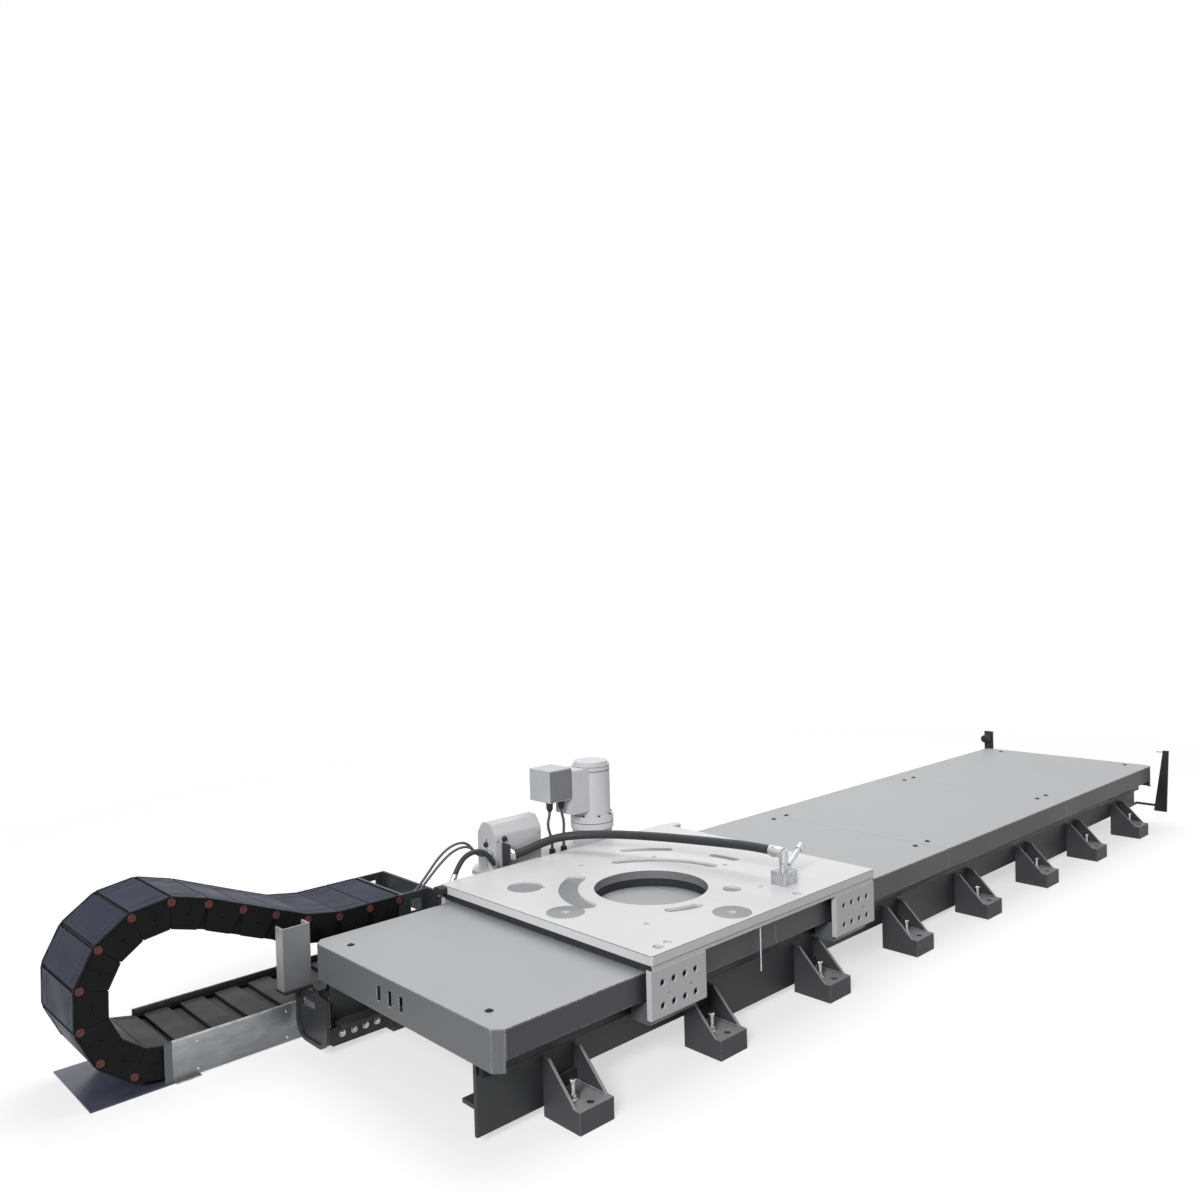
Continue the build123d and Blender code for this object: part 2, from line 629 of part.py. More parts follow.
def output_shaft():
    """Shaft from inside the gearbox down through the pinion."""
    return peg(MOTOR_X, MOTOR_Y, RACK_BOTTOM_Z - SHAFT_PAST, FRAME_UNDER_Z - SHAFT_TOP_DROP, SHAFT_R)


def drive_pinion():
    """Spur pinion with involute flanks, in mesh with the rack at rest: a tooth gap faces the rack's tooth."""
    base = PITCH_R * cos(radians(PRESSURE_ANGLE))
    half = pi / 2 / PINION_TEETH - BACKLASH / 2 / PITCH_R
    spread = tan(radians(PRESSURE_ANGLE)) - radians(PRESSURE_ANGLE)
    root = PITCH_R - DEDENDUM * RACK_MODULE
    outline = []
    for n in range(PINION_TEETH):
        middle = -pi / 2 + (n + 0.5) * 2 * pi / PINION_TEETH
        flank = []
        for radius in (base + 0.5, PITCH_R, PITCH_R + RACK_MODULE * 0.5, PITCH_R + RACK_MODULE):
            roll = (radius / base) ** 2 - 1
            turn = roll ** 0.5 - atan2(roll ** 0.5, 1)
            flank.append((radius, half + spread - turn))
        places = [(root, flank[0][1] + 0.01)] + flank
        outline += [(r, middle - a) for r, a in places] + [(r, middle + a) for r, a in reversed(places)]
    points = [(MOTOR_X + r * cos(a), MOTOR_Y + r * sin(a)) for r, a in outline]
    low = RACK_BOTTOM_Z + PINION_LIFT
    wheel = along_z(points, low, RACK_BOTTOM_Z + RACK_HEIGHT)
    return wheel - peg(MOTOR_X, MOTOR_Y, 0, COVER_TOP_Z, SHAFT_R)


def drive_motor():
    """Upright servo motor: flange, round body, top cap and a flat side towards its connector box."""
    z, top = SHELF_TOP_Z, CAR_TOP_Z + MOTOR_HEIGHT
    base_step, base = MOTOR_BASE
    cap_step, cap = MOTOR_CAP
    body = peg(MOTOR_X, MOTOR_Y, z, z + base, MOTOR_R + base_step)
    body += peg(MOTOR_X, MOTOR_Y, z + base, top - cap, MOTOR_R)
    body += peg(MOTOR_X, MOTOR_Y, top - cap, top, MOTOR_R - cap_step)
    proud, low, high = MOTOR_RING
    body += peg(MOTOR_X, MOTOR_Y, z + low, z + high, MOTOR_R + proud)
    x0 = MOTOR_X - MOTOR_R - MOTOR_FLAT
    y0, y1 = MOTOR_Y - MOTOR_FLAT_HALF, MOTOR_Y + MOTOR_FLAT_HALF
    return body + block(x0, MOTOR_X, y0, y1, z + high + MOTOR_FLAT_LIFT, top - MOTOR_FLAT_DROP)


def motor_connector_box():
    """Terminal box on the motor's near side."""
    length, width = MOTOR_BOX[:2]
    x1 = MOTOR_X - MOTOR_R - MOTOR_FLAT
    y = MOTOR_Y + MOTOR_BOX_SHIFT
    body = block(x1 - length, x1, y - width / 2, y + width / 2, MOTOR_BOX_LOW, MOTOR_BOX_TOP)
    return fillet(body.edges().filter_by(Axis.Z), MOTOR_BOX_ROUND)


def junction_box():
    """Round-topped housing of the cable terminals on the shelf."""
    length, width, height = JUNCTION_SIZE
    low, top, half = SHELF_TOP_Z, SHELF_TOP_Z + height, width / 2
    slope, shoulder = JUNCTION_SHOULDER
    y = MOTOR_Y + JUNCTION_SHIFT
    outline = [(y - half, low), (y + half, low), (y + half, top - shoulder), (y + half - slope, top)]
    outline += [(y - half + slope, top), (y - half, top - shoulder)]
    body = along_x(outline, JUNCTION_X, JUNCTION_X + length)
    return fillet(body.edges().filter_by(Axis.X).sort_by(Axis.Z)[-4:], JUNCTION_ROUND)


def chain_segments():
    """The pins' path from the tow bracket over the loop to the chain's end, as lines and arcs."""
    slope = radians(CHAIN_SLOPE)
    drop = CHAIN_BLEND_R * (1 - cos(slope))
    leave_x = LOOP_X + CHAIN_BEND_R * sin(slope)
    leave_z = LOOP_Z + CHAIN_BEND_R * cos(slope)
    low_x = TOW_X - UPPER_FLAT
    foot_x = low_x - CHAIN_BLEND_R * sin(slope)
    foot_z = leave_z - (foot_x - leave_x) * tan(slope)
    flat_z = foot_z - drop
    ramp = hypot(foot_x - leave_x, leave_z - foot_z)
    return flat_z, [
        ("line", (TOW_X, flat_z), pi, UPPER_FLAT),
        ("arc", (low_x, flat_z + CHAIN_BLEND_R), -pi / 2, CHAIN_BLEND_R, -slope * CHAIN_BLEND_R),
        ("line", (foot_x, foot_z), pi - slope, ramp),
        ("arc", (LOOP_X, LOOP_Z), pi / 2 - slope, CHAIN_BEND_R, (pi + slope) * CHAIN_BEND_R),
        ("line", (LOOP_X, CHAIN_BOTTOM_Z), 0.0, CHAIN_PITCH * CHAIN_LINKS),
    ]


def chain_place(segments, station):
    """Point on the path at a distance from the tow bracket."""
    for segment in segments:
        length = abs(segment[-1])
        if station <= length or segment is segments[-1]:
            break
        station -= length
    if segment[0] == "line":
        kind, (x, z), heading, length = segment
        return x + station * cos(heading), z + station * sin(heading)
    kind, (x, z), start, radius, length = segment
    angle = start + (station if length > 0 else -station) / radius
    return x + radius * cos(angle), z + radius * sin(angle)


def chain_pins():
    """Pin centres, each one chord of the chain's pitch from the last."""
    flat_z, segments = chain_segments()
    stations = [0.0]
    for n in range(CHAIN_LINKS):
        here = chain_place(segments, stations[-1])
        step = CHAIN_PITCH
        for repeat in range(12):
            there = chain_place(segments, stations[-1] + step)
            step += CHAIN_PITCH - hypot(there[0] - here[0], there[1] - here[1])
        stations.append(stations[-1] + step)
    return [chain_place(segments, station) for station in stations]


def chain_link(first, second):
    """One link between two pins: two side plates, the outer lid and the inner crossbar."""
    angle = atan2(second[1] - first[1], second[0] - first[0])
    p = CHAIN_PITCH
    near, far = CHAIN_NEAR_Y, CHAIN_FAR_Y

    def place(outline):
        # The path turns anticlockwise, so the outside of the loop lies on the link's right.
        return [
            (first[0] + u * cos(angle) + v * sin(angle), first[1] + u * sin(angle) - v * cos(angle))
            for u, v in outline
        ]

    def mirrored(half):
        return half + [(p - u, v) for u, v in reversed(half)]

    def across(cut, low, high):
        return [(cut, low), (p - cut, low), (p - cut, high), (cut, high)]

    side = mirrored([(LINK_OUTER_CUT, CHAIN_OUT), (LINK_GAP, 0), (LINK_INNER_CUT, -CHAIN_IN)])
    plates = [along_y(place(side), y, y + CHAIN_SIDE) for y in (near, far - CHAIN_SIDE)]
    lid = across(LID_CUT, CHAIN_OUT - LID_THICK, CHAIN_OUT)
    bar = across(CROSSBAR_CUT, -CHAIN_IN, CROSSBAR_THICK - CHAIN_IN)
    inside = (near + CHAIN_SIDE, far - CHAIN_SIDE)
    return plates, along_y(place(lid), *inside), along_y(place(bar), *inside)


def chain_pin_heads(x, z):
    """The round heads of one joint's pins on both outer faces."""
    heads = []
    for y in (CHAIN_NEAR_Y - PIN_HEAD / 2, CHAIN_FAR_Y + PIN_HEAD / 2):
        heads.append(Pos(x, y, z) * Rot(90, 0, 0) * Cylinder(PIN_R, PIN_HEAD))
    return heads


def tow_bracket(flat_z):
    """Bracket that pulls the chain: windowed cheeks, a cable bar, a tie and an arm to the carriage."""
    x0, x1 = TOW_X, TOW_X + TOW_LENGTH
    low, high = flat_z - CHAIN_IN, flat_z + CHAIN_OUT
    near, far = CHAIN_NEAR_Y + CHAIN_SIDE, CHAIN_FAR_Y - CHAIN_SIDE
    first, last, sill, lintel = TOW_WINDOW
    cheek = block(x0 + 2 * LINK_GAP, x1, CHAIN_NEAR_Y, near, low, high)
    cheek -= block(x0 + first, x0 + last, CHAIN_NEAR_Y - 1, near + 1, low + sill, low + lintel)
    far_cheek = Pos(0, far - CHAIN_NEAR_Y, 0) * cheek
    bar = block(BAR_X - TOW_SHEET, BAR_X, near, far, low + TOW_BAR_LIFT, high)
    seat = BRACKET_FACE_Y
    tie = block(x1, x1 + TOW_SHEET, seat + TOW_TIE_INSET, CHAIN_FAR_Y, low, high)
    arm_end = CAR_NEAR + TOW_ARM_LAP
    arm = block(x1 + TOW_SHEET, arm_end, seat, seat + 2 * TOW_SHEET, low, FRAME_UNDER_Z)
    return cheek + far_cheek + bar + tie + arm


def trough():
    """Folded channel on the floor that the chain's lower run lies in."""
    wall = TROUGH_SHEET
    low = TROUGH_LIFT
    near, far, top = TROUGH_NEAR_Y, TROUGH_FAR_Y, TROUGH_HEIGHT
    outline = [(near, low), (far, low), (far, top), (far - wall, top), (far - wall, low + wall)]
    outline += [(near + wall, low + wall), (near + wall, top), (near, top)]
    return along_x(outline, NEAR + TROUGH_START, FAR + TROUGH_PAST)


def trough_straps():
    """Flat straps from the left-hand feet under the trough."""
    y0, y1 = BEAM_Y + FOOT_REACH, TROUGH_FAR_Y + STRAP_PAST
    half = STRAP_WIDTH / 2
    return [block(x - half, x + half, y0, y1, 0, TROUGH_LIFT) for x in FEET_X]


def trough_floor_plate():
    """Plate on the floor that the chain's loop reaches over at the near end of its travel."""
    x1 = NEAR + TROUGH_START + FLOOR_PLATE_LAP
    y0, y1 = TROUGH_NEAR_Y - FLOOR_PLATE_SIDE, TROUGH_FAR_Y + FLOOR_PLATE_SIDE
    return block(x1 - FLOOR_PLATE_LENGTH, x1, y0, y1, 0, TROUGH_LIFT)


def near_stop_arm():
    """Round-cornered plate off the left-hand beam's near end that carries the stop post."""
    x0, x1 = NEAR + ARM_X, NEAR + ARM_X + ARM_THICK
    y0, y1 = ARM_INNER_Y, ARM_OUTER_Y
    low, top = ARM_LOW_Z, ARM_TOP_Z
    plate = block(x0, x1, y0, y1, low, top)
    plate = fillet(plate.edges().filter_by(Axis.X).sort_by(Axis.Z)[:2], ARM_ROUND)
    panel = block(x0 - 1, x0 + ARM_PANEL, y0 + ARM_RIM, y1 - ARM_RIM, low + ARM_RIM, top - ARM_RIM)
    plate -= fillet(panel.edges().filter_by(Axis.X).sort_by(Axis.Z)[:2], ARM_ROUND - ARM_RIM)
    first, width, drop, height = ARM_WINDOW
    plate -= block(x0 - 1, x1 + 1, y0 + first, y0 + first + width, top - drop - height, top - drop)
    flange = block(x1, NEAR + ARM_FLANGE_TO, BEAM_INNER_Y - ARM_THICK, BEAM_INNER_Y, *ARM_FLANGE_Z)
    table_x = NEAR + POST_FACE - POST_DEPTH - 2
    table = block(table_x, NEAR + POST_FACE, y1 - TABLE_WIDTH, y1 + TABLE_PAST, top, top + TABLE_THICK)
    return plate + flange + table


def stop_arm_bolts():
    """Bolt heads along the arm's flange."""
    y = BEAM_INNER_Y - ARM_THICK - ARM_BOLT_HEAD / 2
    z = sum(ARM_FLANGE_Z) / 2
    return [Pos(NEAR + x, y, z) * Rot(90, 0, 0) * Cylinder(ARM_BOLT_R, ARM_BOLT_HEAD) for x in ARM_BOLT_X]


def near_stop_post():
    """Folded post that the carriage's buffer runs against."""
    x0, x1 = NEAR + POST_FACE - POST_DEPTH, NEAR + POST_FACE
    y1 = ARM_OUTER_Y + POST_PAST
    y0 = y1 - POST_WIDTH
    sheet = POST_SHEET
    outline = [(x0, y1), (x0, y0), (x1, y0), (x1, y1), (x1 - sheet, y1), (x1 - sheet, y0 + sheet)]
    outline += [(x0 + sheet, y0 + sheet), (x0 + sheet, y1)]
    return along_z(outline, ARM_TOP_Z + TABLE_THICK, POST_TOP_Z)


def near_buffer():
    """Rubber block on the carriage's near end, at its left corner."""
    x0 = CAR_NEAR - BUFFER_LENGTH
    body = block(x0, CAR_NEAR, CAR_Y - BUFFER_WIDTH, CAR_Y, PLATE_UNDER_Z, CAR_TOP_Z - BUFFER_DROP)
    return fillet(body.edges().filter_by(Axis.X), BUFFER_ROUND)


def striker():
    """Block on the carriage plate's far end that meets the far buffer."""
    x1 = CAR_FAR + STRIKER_REACH
    body = block(CAR_FAR, x1, CAR_Y - BUFFER_WIDTH, CAR_Y, PLATE_UNDER_Z, CAR_TOP_Z - BUFFER_DROP)
    return chamfer(body.edges().filter_by(Axis.X), STRIKER_CHAMFER)


def far_stop_bracket():
    """Angle off the left-hand beam's far end that holds the far buffer."""
    x1 = FAR_STOP_X
    low, high = FAR_ARM_Z
    y0, y1 = (FAR_STOP_Y + side for side in FAR_STOP_SIDES)
    arm = block(FAR, x1 + FAR_STOP_PLATE, BEAM_Y, y1, low, high)
    post = block(x1, x1 + FAR_STOP_PLATE, y0, y1, high, FAR_STOP_TOP_Z)
    tongue = block(FAR - FAR_TONGUE, FAR, BEAM_Y, BEAM_Y + FAR_STOP_PLATE, *FAR_TONGUE_Z)
    length, top, thick = FAR_STRUT
    middle = FAR_STOP_Y
    strut = along_y([(x1 - length, high), (x1, high), (x1, top)], middle - thick / 2, middle + thick / 2)
    return arm + post + tongue + strut


def far_buffer():
    """Rubber buffer with a rounded nose."""
    x = FAR_STOP_X - FAR_BUFFER / 2
    nose = Pos(x, FAR_STOP_Y, FAR_BUFFER_Z) * Rot(0, 90, 0) * Cylinder(FAR_BUFFER_R, FAR_BUFFER)
    return fillet(nose.edges().sort_by(Axis.X)[0], FAR_BUFFER_ROUND)


def far_end_post():
    """Tapered post on a thin arm from the right-hand beam's far end."""
    x0, x1 = (FAR + x for x in FAR_POST_X)
    inner, outer, low = FAR_POST_BASE
    top_inner, top_outer, high = FAR_POST_TOP
    outline = [(-BEAM_Y - outer, low), (-BEAM_Y - inner, low), (-BEAM_Y - top_inner, high)]
    outline += [(-BEAM_Y - top_outer, high)]
    arm_low, arm_high = FAR_POST_ARM_Z
    edge = -BEAM_Y + FAR_POST_ARM
    arm = block(FAR, x1, edge - FAR_POST_ARM, edge, arm_low, arm_high)
    reach = block(x0, x1, -BEAM_Y - inner - 2 * FAR_POST_ARM, edge, arm_low, arm_high)
    return along_x(outline, x0, x1) + arm + reach


def far_sensor_pin():
    """Sensor that points inwards from the top of the far post."""
    inner, low = FAR_POST_BASE[0], FAR_POST_BASE[2]
    top_inner, high = FAR_POST_TOP[0], FAR_POST_TOP[2]
    edge = top_inner + (inner - top_inner) * (high - SENSOR_Z + SENSOR_R) / (high - low)
    y = -BEAM_Y - edge + SENSOR_LENGTH / 2
    return Pos(FAR + sum(FAR_POST_X) / 2, y, SENSOR_Z) * Rot(90, 0, 0) * Cylinder(SENSOR_R, SENSOR_LENGTH)


def connector_bracket():
    """Upright bracket where the hose of the carriage begins."""
    x = NEAR + CONNECTOR_X
    half = HOSE_D / 2 + GLAND_WALL + 2
    top = SHELF_TOP_Z + CONNECTOR_HEIGHT
    return block(x, x + CONNECTOR_SHEET, CONNECTOR_Y - half, CONNECTOR_Y + half, SHELF_TOP_Z, top)


def gland(x, y, z, diameter, turn):
    """A gland for a cord of some diameter, its base at the place given and its mouth along the turned Z."""
    return Pos(x, y, z) * turn * Pos(0, 0, GLAND / 2) * Cylinder(diameter / 2 + GLAND_WALL, GLAND)


def hose_elbow(x, tilt):
    """A leaning elbow on the shelf for one end of the short hose."""
    radius = SHORT_HOSE_D / 2 + 2
    knee = SHELF_TOP_Z + radius
    riser = peg(x, SHORT_HOSE_Y, SHELF_TOP_Z, knee + 2, radius)
    lean = Pos(x, SHORT_HOSE_Y, knee) * Rot(0, tilt, 0)
    arm = lean * Pos(0, 0, ELBOW_LENGTH / 2) * Cylinder(radius, ELBOW_LENGTH)
    return riser + arm


def cable_glands():
    """The glands and elbows that hold both ends of each hose and cable."""
    back, ahead, up, down = Rot(0, -90, 0), Rot(0, 90, 0), Rot(0, 0, 0), Rot(180, 0, 0)
    pieces = [gland(NEAR + CONNECTOR_X + CONNECTOR_SHEET, CONNECTOR_Y, HOSE_START_Z, HOSE_D, ahead)]
    for x, tilt in zip(SHORT_HOSE_ELBOWS, (ELBOW_TILT, -ELBOW_TILT)):
        pieces.append(hose_elbow(NEAR + x, tilt))
    for y in SIGNAL_Y:
        pieces.append(gland(BAR_X, y, SIGNAL_START_Z, SIGNAL_D, ahead))
        pieces.append(gland(JUNCTION_X, y, SIGNAL_END_Z, SIGNAL_D, back))
    for shift in MOTOR_CABLE_SHIFTS:
        x = MOTOR_X + shift
        pieces.append(gland(x, MOTOR_CABLE_Y, MOTOR_BOX_LOW, MOTOR_CABLE_D, down))
        pieces.append(gland(x + MOTOR_CABLE_LEAN, MOTOR_CABLE_Y, SHELF_TOP_Z, MOTOR_CABLE_D, up))
    return pieces


def cord(name, points, diameter):
    """A tube along straight runs, X from the bed's near end, joined by the largest arcs they allow."""
    radii = []
    points = [(NEAR + x, y, z) for x, y, z in points]
    for before, here, after in zip(points, points[1:], points[2:]):
        first = Vector(*here) - Vector(*before)
        second = Vector(*after) - Vector(*here)
        shorter = min(first.length, second.length)
        radii.append(0.45 * shorter / tan(radians(first.get_angle(second) / 2)))
    path = FilletPolyline(*points, radius=radii)
    tube = sweep(Plane(origin=path @ 0, z_dir=path % 0) * Circle(diameter / 2), path=path)
    share = tube.volume / (pi * diameter ** 2 / 4 * path.length)
    print(name, "radii", [round(r) for r in radii], "length", round(path.length), "share", round(share, 4))
    return tube


def carriage_hose():
    """Hose from the connector bracket along the plate's left edge and across it to the media block."""
    x0 = CONNECTOR_X + CONNECTOR_SHEET + GLAND
    y, z = CONNECTOR_Y, HOSE_START_Z
    end = VALVE_Y + ELBOW_REACH
    route = [(x0, y, z), (x0 + 57, y, z), (x0 + 147, y + 2, z + 16), (x0 + 235, y - 22, z + 32)]
    route += [(x0 + 307, y - 110, z + 42), (x0 + 367, y - 240, z + 52), (x0 + 412, y - 400, z + 61)]
    route += [(x0 + 442, y - 560, z + 70), (x0 + 467, y - 710, z + 77)]
    route += [(VALVE_X, end + 72, HOSE_END_Z), (VALVE_X, end, HOSE_END_Z)]
    return cord("carriage_hose", route, HOSE_D)


def short_hose():
    """Arch between the two elbows on the shelf, five equal runs that turn by the same angle."""
    run = 50.0
    radius = SHORT_HOSE_D / 2 + 2
    lean = radians(ELBOW_TILT)
    x = SHORT_HOSE_ELBOWS[0] + ELBOW_LENGTH * sin(lean)
    z = SHELF_TOP_Z + radius + ELBOW_LENGTH * cos(lean)
    route = [(x, SHORT_HOSE_Y, z)]
    for angle in (60, 30, 0, -30, -60):
        x += run * cos(radians(angle))
        z += run * sin(radians(angle))
        route.append((x, SHORT_HOSE_Y, z))
    return cord("short_hose", route, SHORT_HOSE_D)


def signal_cable(name, y, lift):
    """Thin cable from the bar in the tow bracket over its tie to the terminal housing."""
    x0 = BAR_X - NEAR + GLAND
    x1 = JUNCTION_X - NEAR - GLAND
    z0, z1 = SIGNAL_START_Z, SIGNAL_END_Z
    route = [(x0, y, z0), (x0 + 41, y, z0), (x0 + 95, y - 8, z0 + 55), (x0 + 149, y - 16, z0 + 107 + lift)]
    route += [(x0 + 201, y - 24, z0 + 143 + lift), (x0 + 259, y - 26, z0 + 149 + lift)]
    route += [(x1 - 73, y - 14, z1 + 36 + lift), (x1 - 39, y, z1), (x1, y, z1)]
    return cord(name, route, SIGNAL_D)


def motor_cable(name, shift, bow):
    """Cable from the motor's terminal box down to the shelf."""
    x, y = MOTOR_X - NEAR + shift, MOTOR_CABLE_Y
    top, low = MOTOR_BOX_LOW - GLAND, SHELF_TOP_Z + GLAND
    foot = x + MOTOR_CABLE_LEAN
    route = [(x, y, top), (x, y, top - 30), (x + bow, y, top - 70), (foot, y, low + 36), (foot, y, low)]
    return cord(name, route, MOTOR_CABLE_D)


def valve_block():
    """Media block on the plate."""
    length, width, height = VALVE_SIZE
    x, y = NEAR + VALVE_X, VALVE_Y
    body = block(x - length / 2, x + length / 2, y - width / 2, y + width / 2, CAR_TOP_Z, CAR_TOP_Z + height)
    return chamfer(body.edges().filter_by(Axis.Z), VALVE_CHAMFER)


def valve_fittings():
    """Fittings on the media block: an elbow for the hose, a leaning branch and a plug."""
    x, y = NEAR + VALVE_X, VALVE_Y
    z = CAR_TOP_Z + VALVE_SIZE[2]
    neck = ELBOW_R - ELBOW_NECK
    elbow = peg(x, y, z, HOSE_END_Z + neck - ELBOW_NECK, neck)
    elbow += Pos(x, y + ELBOW_REACH / 2, HOSE_END_Z) * Rot(90, 0, 0) * Cylinder(ELBOW_R, ELBOW_REACH)
    shift, tilt, radius, length, end_radius, end = BRANCH
    foot = z + radius + 2
    lean = Pos(x + shift, y, foot) * Rot(0, tilt, 0)
    branch = peg(x + shift, y, z, foot + 2, radius) + lean * Pos(0, 0, length / 2) * Cylinder(radius, length)
    branch += lean * Pos(0, 0, length + end / 2) * Cylinder(end_radius, end)
    back, plug_radius, plug_height = PLUG
    return [elbow, branch, peg(x - shift, y - back, z, z + plug_height, plug_radius)]


def sensor_rod():
    """Thin rod under the plate's right edge."""
    place, out, low, radius = ROD
    return peg(CAR_NEAR + place, -SKIRT_Y - out, low, FRAME_UNDER_Z, radius)


def build():
    """All sub-parts by name."""
    third = BED_LENGTH / 4
    seams = [NEAR + third * n for n in (1, 2, 3)]
    gap = COVER_SEAM / 2
    near_pair = (CAR_NEAR, CAR_NEAR + BRACKET_LENGTH)
    far_pair = (CAR_FAR - BRACKET_LENGTH, CAR_FAR)
    parts = {}
    beam = side_beam()
    parts["right_side_beam"] = beam
    parts["left_side_beam"] = other_side(beam)
    parts["cross_members"] = cross_members()
    feet = [foot(x) for x in FEET_X]
    parts["floor_feet"] = feet + [other_side(piece) for piece in feet]
    places = [(x + SCREW_SHIFT_X, y) for x in FEET_X for y in (-SCREW_Y, SCREW_Y)]
    parts["levelling_screws"] = [levelling_screw(x, y) for x, y in places]
    rail = guide_rail()
    parts["right_guide_rail"] = rail
    parts["left_guide_rail"] = other_side(rail)
    parts["toothed_rack"] = toothed_rack()
    parts["rack_brackets"] = rack_brackets()
    parts["cover_near"] = near_cover(NEAR, seams[0] - gap)
    parts["cover_second"] = cover_section(seams[0] + gap, seams[1] - gap)
    parts["cover_third"] = cover_section(seams[1] + gap, seams[2] - gap)
    parts["cover_far"] = end_cover(seams[2] + gap, FAR, 1)
    parts["cover_screws"] = cover_screws(seams)
    parts["chain_trough"] = trough()
    parts["trough_straps"] = trough_straps()
    parts["trough_floor_plate"] = trough_floor_plate()
    parts["near_stop_arm"] = near_stop_arm()
    parts["stop_arm_bolts"] = stop_arm_bolts()
    parts["near_stop_post"] = near_stop_post()
    parts["far_stop_bracket"] = far_stop_bracket()
    parts["far_buffer"] = far_buffer()
    parts["far_end_post"] = far_end_post()
    parts["far_sensor_pin"] = far_sensor_pin()
    parts["carriage_plate"] = carriage_plate()
    parts["carriage_frame"] = carriage_frame()
    for name, span in (("near", near_pair), ("far", far_pair)):
        bracket = side_bracket(*span)
        shoe = guide_shoe(span[0] + SHOE_INSET, span[1] - SHOE_INSET)
        parts[name + "_right_bracket"] = bracket
        parts[name + "_left_bracket"] = other_side(bracket)
        parts[name + "_right_shoe"] = shoe
        parts[name + "_left_shoe"] = other_side(shoe)
    heads = bracket_screws(*near_pair) + bracket_screws(*far_pair)
    parts["bracket_screws"] = heads + [other_side(head) for head in heads]
    parts["side_shelf"] = side_shelf()
    parts["gearbox"] = gearbox()
    parts["output_shaft"] = output_shaft()
    parts["drive_pinion"] = drive_pinion()
    parts["drive_motor"] = drive_motor()
    parts["motor_connector_box"] = motor_connector_box()
    parts["junction_box"] = junction_box()
    pins = chain_pins()
    sides, lids, bars, caps = [], [], [], []
    for first, second in zip(pins, pins[1:]):
        plates, lid, bar = chain_link(first, second)
        sides += plates
        lids.append(lid)
        bars.append(bar)
    for x, z in pins[:-1]:
        caps += chain_pin_heads(x, z)
    parts["chain_side_plates"] = sides
    parts["chain_lids"] = lids
    parts["chain_crossbars"] = bars
    parts["chain_pins"] = caps
    parts["tow_bracket"] = tow_bracket(chain_segments()[0])
    parts["near_buffer"] = near_buffer()
    parts["striker"] = striker()
    parts["connector_bracket"] = connector_bracket()
    parts["cable_glands"] = cable_glands()
    parts["valve_block"] = valve_block()
    parts["valve_fittings"] = valve_fittings()
    parts["sensor_rod"] = sensor_rod()
    parts["carriage_hose"] = carriage_hose()
    parts["short_hose"] = short_hose()
    parts["signal_cable_a"] = signal_cable("signal_cable_a", SIGNAL_Y[0], 0)
    parts["signal_cable_b"] = signal_cable("signal_cable_b", SIGNAL_Y[1], 12)
    parts["motor_power_cable"] = motor_cable("motor_power_cable", MOTOR_CABLE_SHIFTS[0], -16)
    parts["motor_signal_cable"] = motor_cable("motor_signal_cable", MOTOR_CABLE_SHIFTS[1], 14)
    return parts


if __name__ == "__main__":
    os.makedirs("parts", exist_ok=True)
    for name, shape in build().items():
        if isinstance(shape, list):
            shape = Compound([solid for piece in shape for solid in piece.solids()])
        export_step(shape, f"parts/{name}.step")
        print(name, len(shape.solids()), round(shape.volume / 1000))
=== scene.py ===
import math

import bmesh
import bpy
from mathutils import Matrix, Vector


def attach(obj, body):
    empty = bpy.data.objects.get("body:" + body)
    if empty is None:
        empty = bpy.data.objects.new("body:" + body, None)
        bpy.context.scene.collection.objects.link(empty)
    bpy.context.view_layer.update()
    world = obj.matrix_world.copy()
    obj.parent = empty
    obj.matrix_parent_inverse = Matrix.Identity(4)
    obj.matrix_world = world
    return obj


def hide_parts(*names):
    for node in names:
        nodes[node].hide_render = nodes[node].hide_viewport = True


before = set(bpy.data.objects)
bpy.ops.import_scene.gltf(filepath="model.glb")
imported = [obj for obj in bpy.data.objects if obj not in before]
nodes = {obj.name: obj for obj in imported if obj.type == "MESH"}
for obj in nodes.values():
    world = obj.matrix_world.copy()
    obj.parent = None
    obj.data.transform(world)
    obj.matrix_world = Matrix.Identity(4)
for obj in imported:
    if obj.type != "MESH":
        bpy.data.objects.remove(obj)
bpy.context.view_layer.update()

bedNear = -2.4  # X of the bed's near end; hose routes and the chain are measured from it
carriageSpan = (-1.857, -0.647)  # X of the carriage's two ends
boreCentre = (-1.364, -0.069)
motorAxis = (-0.985, 0.65)
print("frame loaded")


def addObject(name, data):
    made = bpy.data.objects.new(name, data)
    bpy.context.scene.collection.objects.link(made)
    return made


# Camera
camera = {
    "place": (-4.011, -2.652, 1.54), "turn": -43.287, "tilt": 1.3, "roll": -1.579, "lens": 30.796,
    "sensor": 36.0,
}


def placeCamera():
    turn, tilt, roll = (math.radians(camera[key]) for key in ("turn", "tilt", "roll"))
    back = Vector((math.sin(turn) * math.cos(tilt), -math.cos(turn) * math.cos(tilt), math.sin(tilt)))
    right = Vector((0, 0, 1)).cross(back).normalized()
    up = back.cross(right)
    turned = math.cos(roll) * right + math.sin(roll) * up
    upright = math.cos(roll) * up - math.sin(roll) * right
    data = bpy.data.cameras.new("camera")
    data.sensor_width = camera["sensor"]
    data.lens = camera["lens"]
    data.clip_end = 60
    eye = addObject("camera", data)
    eye.rotation_euler = Matrix((turned, upright, back)).transposed().to_euler()
    eye.location = camera["place"]
    bpy.context.scene.camera = eye


placeCamera()
print("camera placed")


